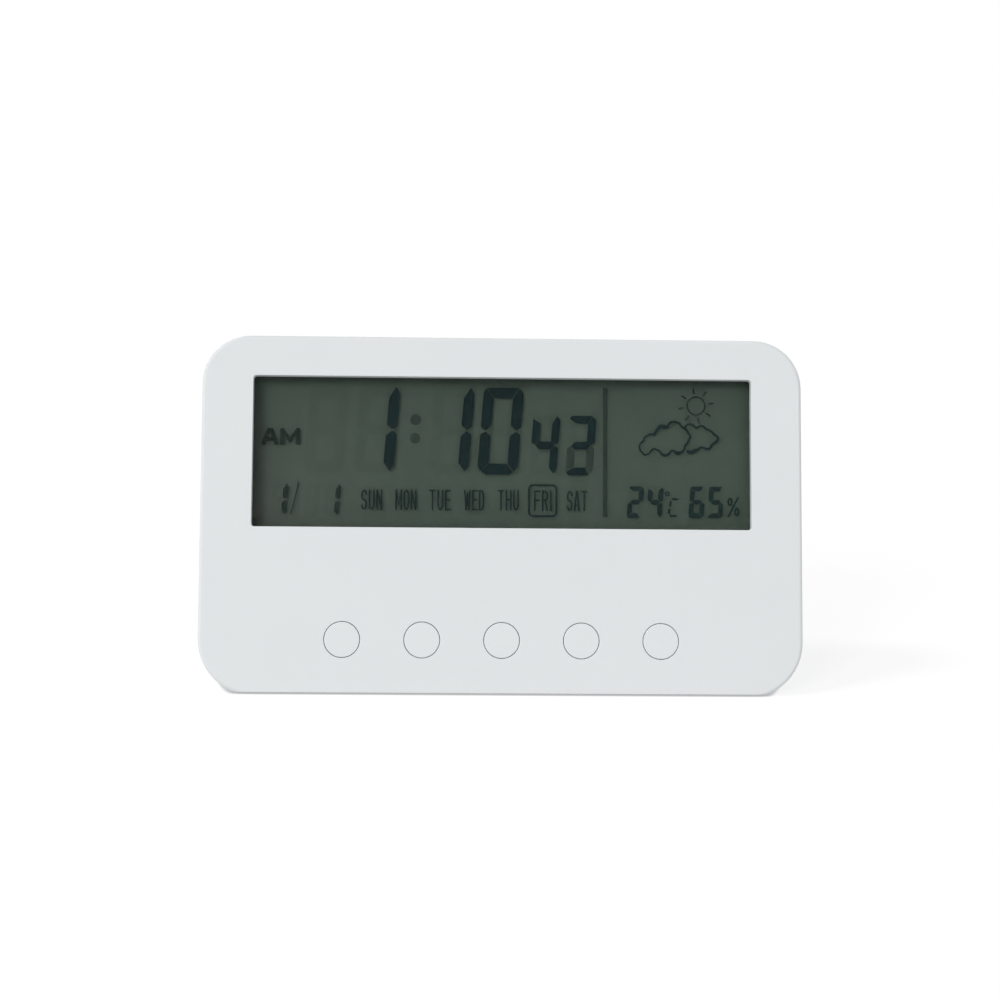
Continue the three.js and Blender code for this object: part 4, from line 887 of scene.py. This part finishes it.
def make_display():
    sheets = {name: Plates(INK_FRONT, INK_FRONT + INK_THICKNESS, CASE_FRAME) for name in INKS}
    for x, z, style, on, half_on in DIGITS:
        for name in SEGMENTS_OF["8"]:
            faint = "fading_bars" if name in half_on else "unlit_bars"
            target = LIT_SHEETS[style] if name in on else faint
            sheets[target].add(leaning(bar(style, name), x, z))
    for x, z in COLON:
        sheets["colon"].add(ring(x, z, COLON_RADIUS, COLON_RADIUS, RING_SIDES))
    legends = sheets["legends"]
    for word, *box in DAYS:
        draw_word(legends, word, *box, DAY_STROKE)
    draw_line(legends, rounded_outline(*DAY_BOX, DAY_BOX_CORNER), DAY_BOX_STROKE, closed=True)
    for word, *box in HALF_DAY:
        draw_word(sheets["pale_signs"], word, *box, HALF_DAY_STROKE)
    draw_line(legends, SLASH, SLASH_STROKE)
    draw_units(legends)
    draw_sun(sheets["pale_signs"])
    draw_cloud(legends, FRONT_CLOUD, True)
    draw_cloud(legends, REAR_CLOUD, False)
    x0, z0, x1, z1 = DIVIDER
    sheets["divider"].add([(x0, z0), (x1, z0), (x1, z1), (x0, z1)])
    for name, look in INKS.items():
        sheets[name].finish("display_" + name, look, "display_green")


# Solids of revolution and wires
def round_angles(sides):
    """As many angles round a circle."""
    return [2 * math.pi * i / sides for i in range(sides)]


def ring_mesh(rings):
    """A closed skin over rings of points, with its ends capped."""
    mesh = bmesh.new()
    loops = [[mesh.verts.new(point) for point in line] for line in rings]
    for first, second in zip(loops, loops[1:]):
        join_loops(mesh, first, second)
    mesh.faces.new(loops[0][::-1])
    mesh.faces.new(loops[-1])
    bmesh.ops.recalc_face_normals(mesh, faces=mesh.faces)
    for face in mesh.faces:
        face.smooth = True
    return mesh


SHARP_ANGLE = math.radians(35)


def to_data(mesh, name, mat):
    for edge in mesh.edges:
        if edge.is_manifold and edge.calc_face_angle() > SHARP_ANGLE:
            edge.smooth = False
    data = bpy.data.meshes.new(name)
    mesh.to_mesh(data)
    mesh.free()
    data.materials.append(mat)
    return data


# Cells: the flat end's rolled rim and the button end's collar, as shares of the radius and millimetres from
# that end, then the button contact, as millimetres past its own radius and from the end
CELL_SIDES = 48
FLAT_RIM = [(0.78, 0.25), (0.80, 0.02), (0.9, 0.0), (0.965, 0.12), (1, 0.5)]
COLLAR = [(1, 2.2), (0.985, 1.75), (0.93, 1.5), (0.84, 1.6), (0.8, 1.85)]
NUB_RADIUS = 1.9
NUB = [(0.9, 1.85), (0.25, 1.5), (0, 1.15), (0, 0.2), (-0.2, 0)]


def cell_profile(radius, length):
    """Radius and distance from the flat end."""
    flat = [(share * radius, rise) for share, rise in FLAT_RIM]
    collar = [(share * radius, length - drop) for share, drop in COLLAR]
    return flat + collar + [(NUB_RADIUS + wider, length - drop) for wider, drop in NUB]


# The cell's jacket: each colour starts at a share of the cell's length from its flat end
BARE_METAL = (0.62, 0.62, 0.6)
JACKET_START = 0.012
JACKET_END = 0.955
JACKET_BANDS = [
    (0, BARE_METAL), (JACKET_START, (0.05, 0.14, 0.27)), (0.8, (0.6, 0.62, 0.64)),
    (0.82, (0.03, 0.08, 0.16)), (JACKET_END, BARE_METAL),
]
METAL_BANDS = [(0, (1, 1, 1)), (JACKET_START, (0, 0, 0)), (JACKET_END, (1, 1, 1))]
JACKET_ROUGHNESS = (0.24, 0.34)
JACKET_GLOSS_SIZE = 3
JACKET_CREASE_SIZE = 2.5
JACKET_CREASE = 0.01


def add_bands(tree, along, stops):
    """Plain bands of colour, each from its own share of the way."""
    bands = tree.nodes.new("ShaderNodeValToRGB")
    ramp = bands.color_ramp
    ramp.interpolation = "CONSTANT"
    for _ in stops[2:]:
        ramp.elements.new(0.5)
    for element, (share, color) in zip(ramp.elements, stops):
        element.position = share
        element.color = (*color, 1)
    tree.links.new(along, bands.inputs["Fac"])
    return bands.outputs["Color"]


def battery_jacket(name, flat_end, nub_end):
    """Film without print: dark blue, with a pale ring near the button end and bare metal at both ends."""
    mat, tree, shader = new_material(name)
    along = add_range(tree, object_axes(tree)["X"], 0, 1, flat_end, nub_end)
    tree.links.new(add_bands(tree, along, JACKET_BANDS), shader.inputs["Base Color"])
    tree.links.new(add_bands(tree, along, METAL_BANDS), shader.inputs["Metallic"])
    gloss = add_range(tree, add_noise(tree, JACKET_GLOSS_SIZE), *JACKET_ROUGHNESS)
    tree.links.new(gloss, shader.inputs["Roughness"])
    crease = add_bump(tree, add_noise(tree, JACKET_CREASE_SIZE), JACKET_CREASE)
    tree.links.new(crease, shader.inputs["Normal"])
    return mat


def make_cells():
    for name in numbered("battery", 2):
        low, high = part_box(name)
        middle = (low + high) / 2
        radius = (high.z - low.z) / 2 / MM
        length = (high.x - low.x) / MM
        side = -1 if middle.x < 0 else 1
        flat_end = low.x if side > 0 else high.x
        rings = []
        for ring_radius, distance in cell_profile(radius, length):
            x = flat_end + side * distance * MM
            rings.append([Vector((x, middle.y + ring_radius * MM * math.cos(a),
                                  middle.z + ring_radius * MM * math.sin(a)))
                          for a in round_angles(CELL_SIDES)])
        look = battery_jacket(name + "_jacket", flat_end, flat_end + side * length * MM)
        data = to_data(ring_mesh(rings), name + "_cell", look)
        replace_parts(link_piece(name + "_cell", data, "case"), name)


WIRE_SIDES = 10


def swept(points, radius):
    """Rings of a round wire along points."""
    rings = []
    side = None
    for i, point in enumerate(points):
        ahead = points[min(i + 1, len(points) - 1)] - points[max(i - 1, 0)]
        ahead.normalize()
        if side is None:
            side = ahead.orthogonal().normalized()
        side = (side - ahead * side.dot(ahead)).normalized()
        other = ahead.cross(side)
        rings.append([point + (side * math.cos(a) + other * math.sin(a)) * radius
                      for a in round_angles(WIRE_SIDES)])
    return rings


SPRING_TURNS = 4
SPRING_STEPS = 30
SPRING_WIRE = 0.3
SPRING_RADII = (3.4, 2.2)
FLAT_TURNS = 0.8


def make_springs():
    for name in numbered("contact_spring", 2):
        low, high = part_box(name)
        middle = (low + high) / 2
        foot, tip = (high.x, low.x) if middle.x > 0 else (low.x, high.x)
        side = 1 if tip > foot else -1
        steps = SPRING_TURNS * SPRING_STEPS
        points = []
        for i in range(steps + 1):
            share = i / steps
            radius = SPRING_RADII[0] + (SPRING_RADII[1] - SPRING_RADII[0]) * share
            climb = (share * SPRING_TURNS - FLAT_TURNS) / (SPRING_TURNS - 2 * FLAT_TURNS)
            rise = min(1, max(0, climb))
            x = foot + side * SPRING_WIRE * MM + (tip - foot - 2 * side * SPRING_WIRE * MM) * rise
            angle = side * 2 * math.pi * SPRING_TURNS * share
            points.append(Vector((x, middle.y + radius * MM * math.cos(angle),
                                  middle.z + radius * MM * math.sin(angle))))
        data = to_data(ring_mesh(swept(points, SPRING_WIRE * MM)), name + "_coil", spring_steel)
        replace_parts(link_piece(name + "_coil", data, "case"), name)


# Raised polarity marks on the ledge beside the battery bay
LEDGE_DEPTH = 2.3
MARK_RISE = 0.2
MARK_SIZE = 2.0
MARK_STROKE = 0.45
MARK_X = 27.35
CELL_OFFSET = 5.55


def make_marks():
    marks = Plates(-LEDGE_DEPTH - MARK_RISE, -LEDGE_DEPTH + MARK_RISE, REAR_FRAME)
    half = MARK_SIZE / 2
    arm = MARK_STROKE / 2
    cross = [(half, -arm), (half, arm), (arm, arm), (arm, half), (-arm, half), (-arm, arm),
             (-half, arm), (-half, -arm), (-arm, -arm), (-arm, -half), (arm, -half), (arm, -arm)]
    dash = [(-half, -arm), (half, -arm), (half, arm), (-half, arm)]
    for side, upper, lower in ((-1, cross, dash), (1, dash, cross)):
        marks.add([(side * MARK_X + x, CELL_OFFSET + z) for x, z in upper])
        marks.add([(side * MARK_X + x, -CELL_OFFSET + z) for x, z in lower])
    marks.finish("polarity_marks", case_white, "case_white")


# How many clear surfaces a ray may pass
CLEAR_LAYERS = 32

make_camera()
make_sun("key", KEY_TRAVEL, KEY_STRENGTH, KEY_ANGLE)
make_sun("top", TOP_TRAVEL, TOP_STRENGTH, TOP_ANGLE)
make_sun("side", SIDE_TRAVEL, SIDE_STRENGTH, SIDE_ANGLE)
make_world()
make_floor()
dress_nodes()
make_display()
make_cells()
make_springs()
make_marks()

scene = bpy.context.scene
scene.view_settings.view_transform = "Standard"
scene.cycles.transparent_max_bounces = CLEAR_LAYERS
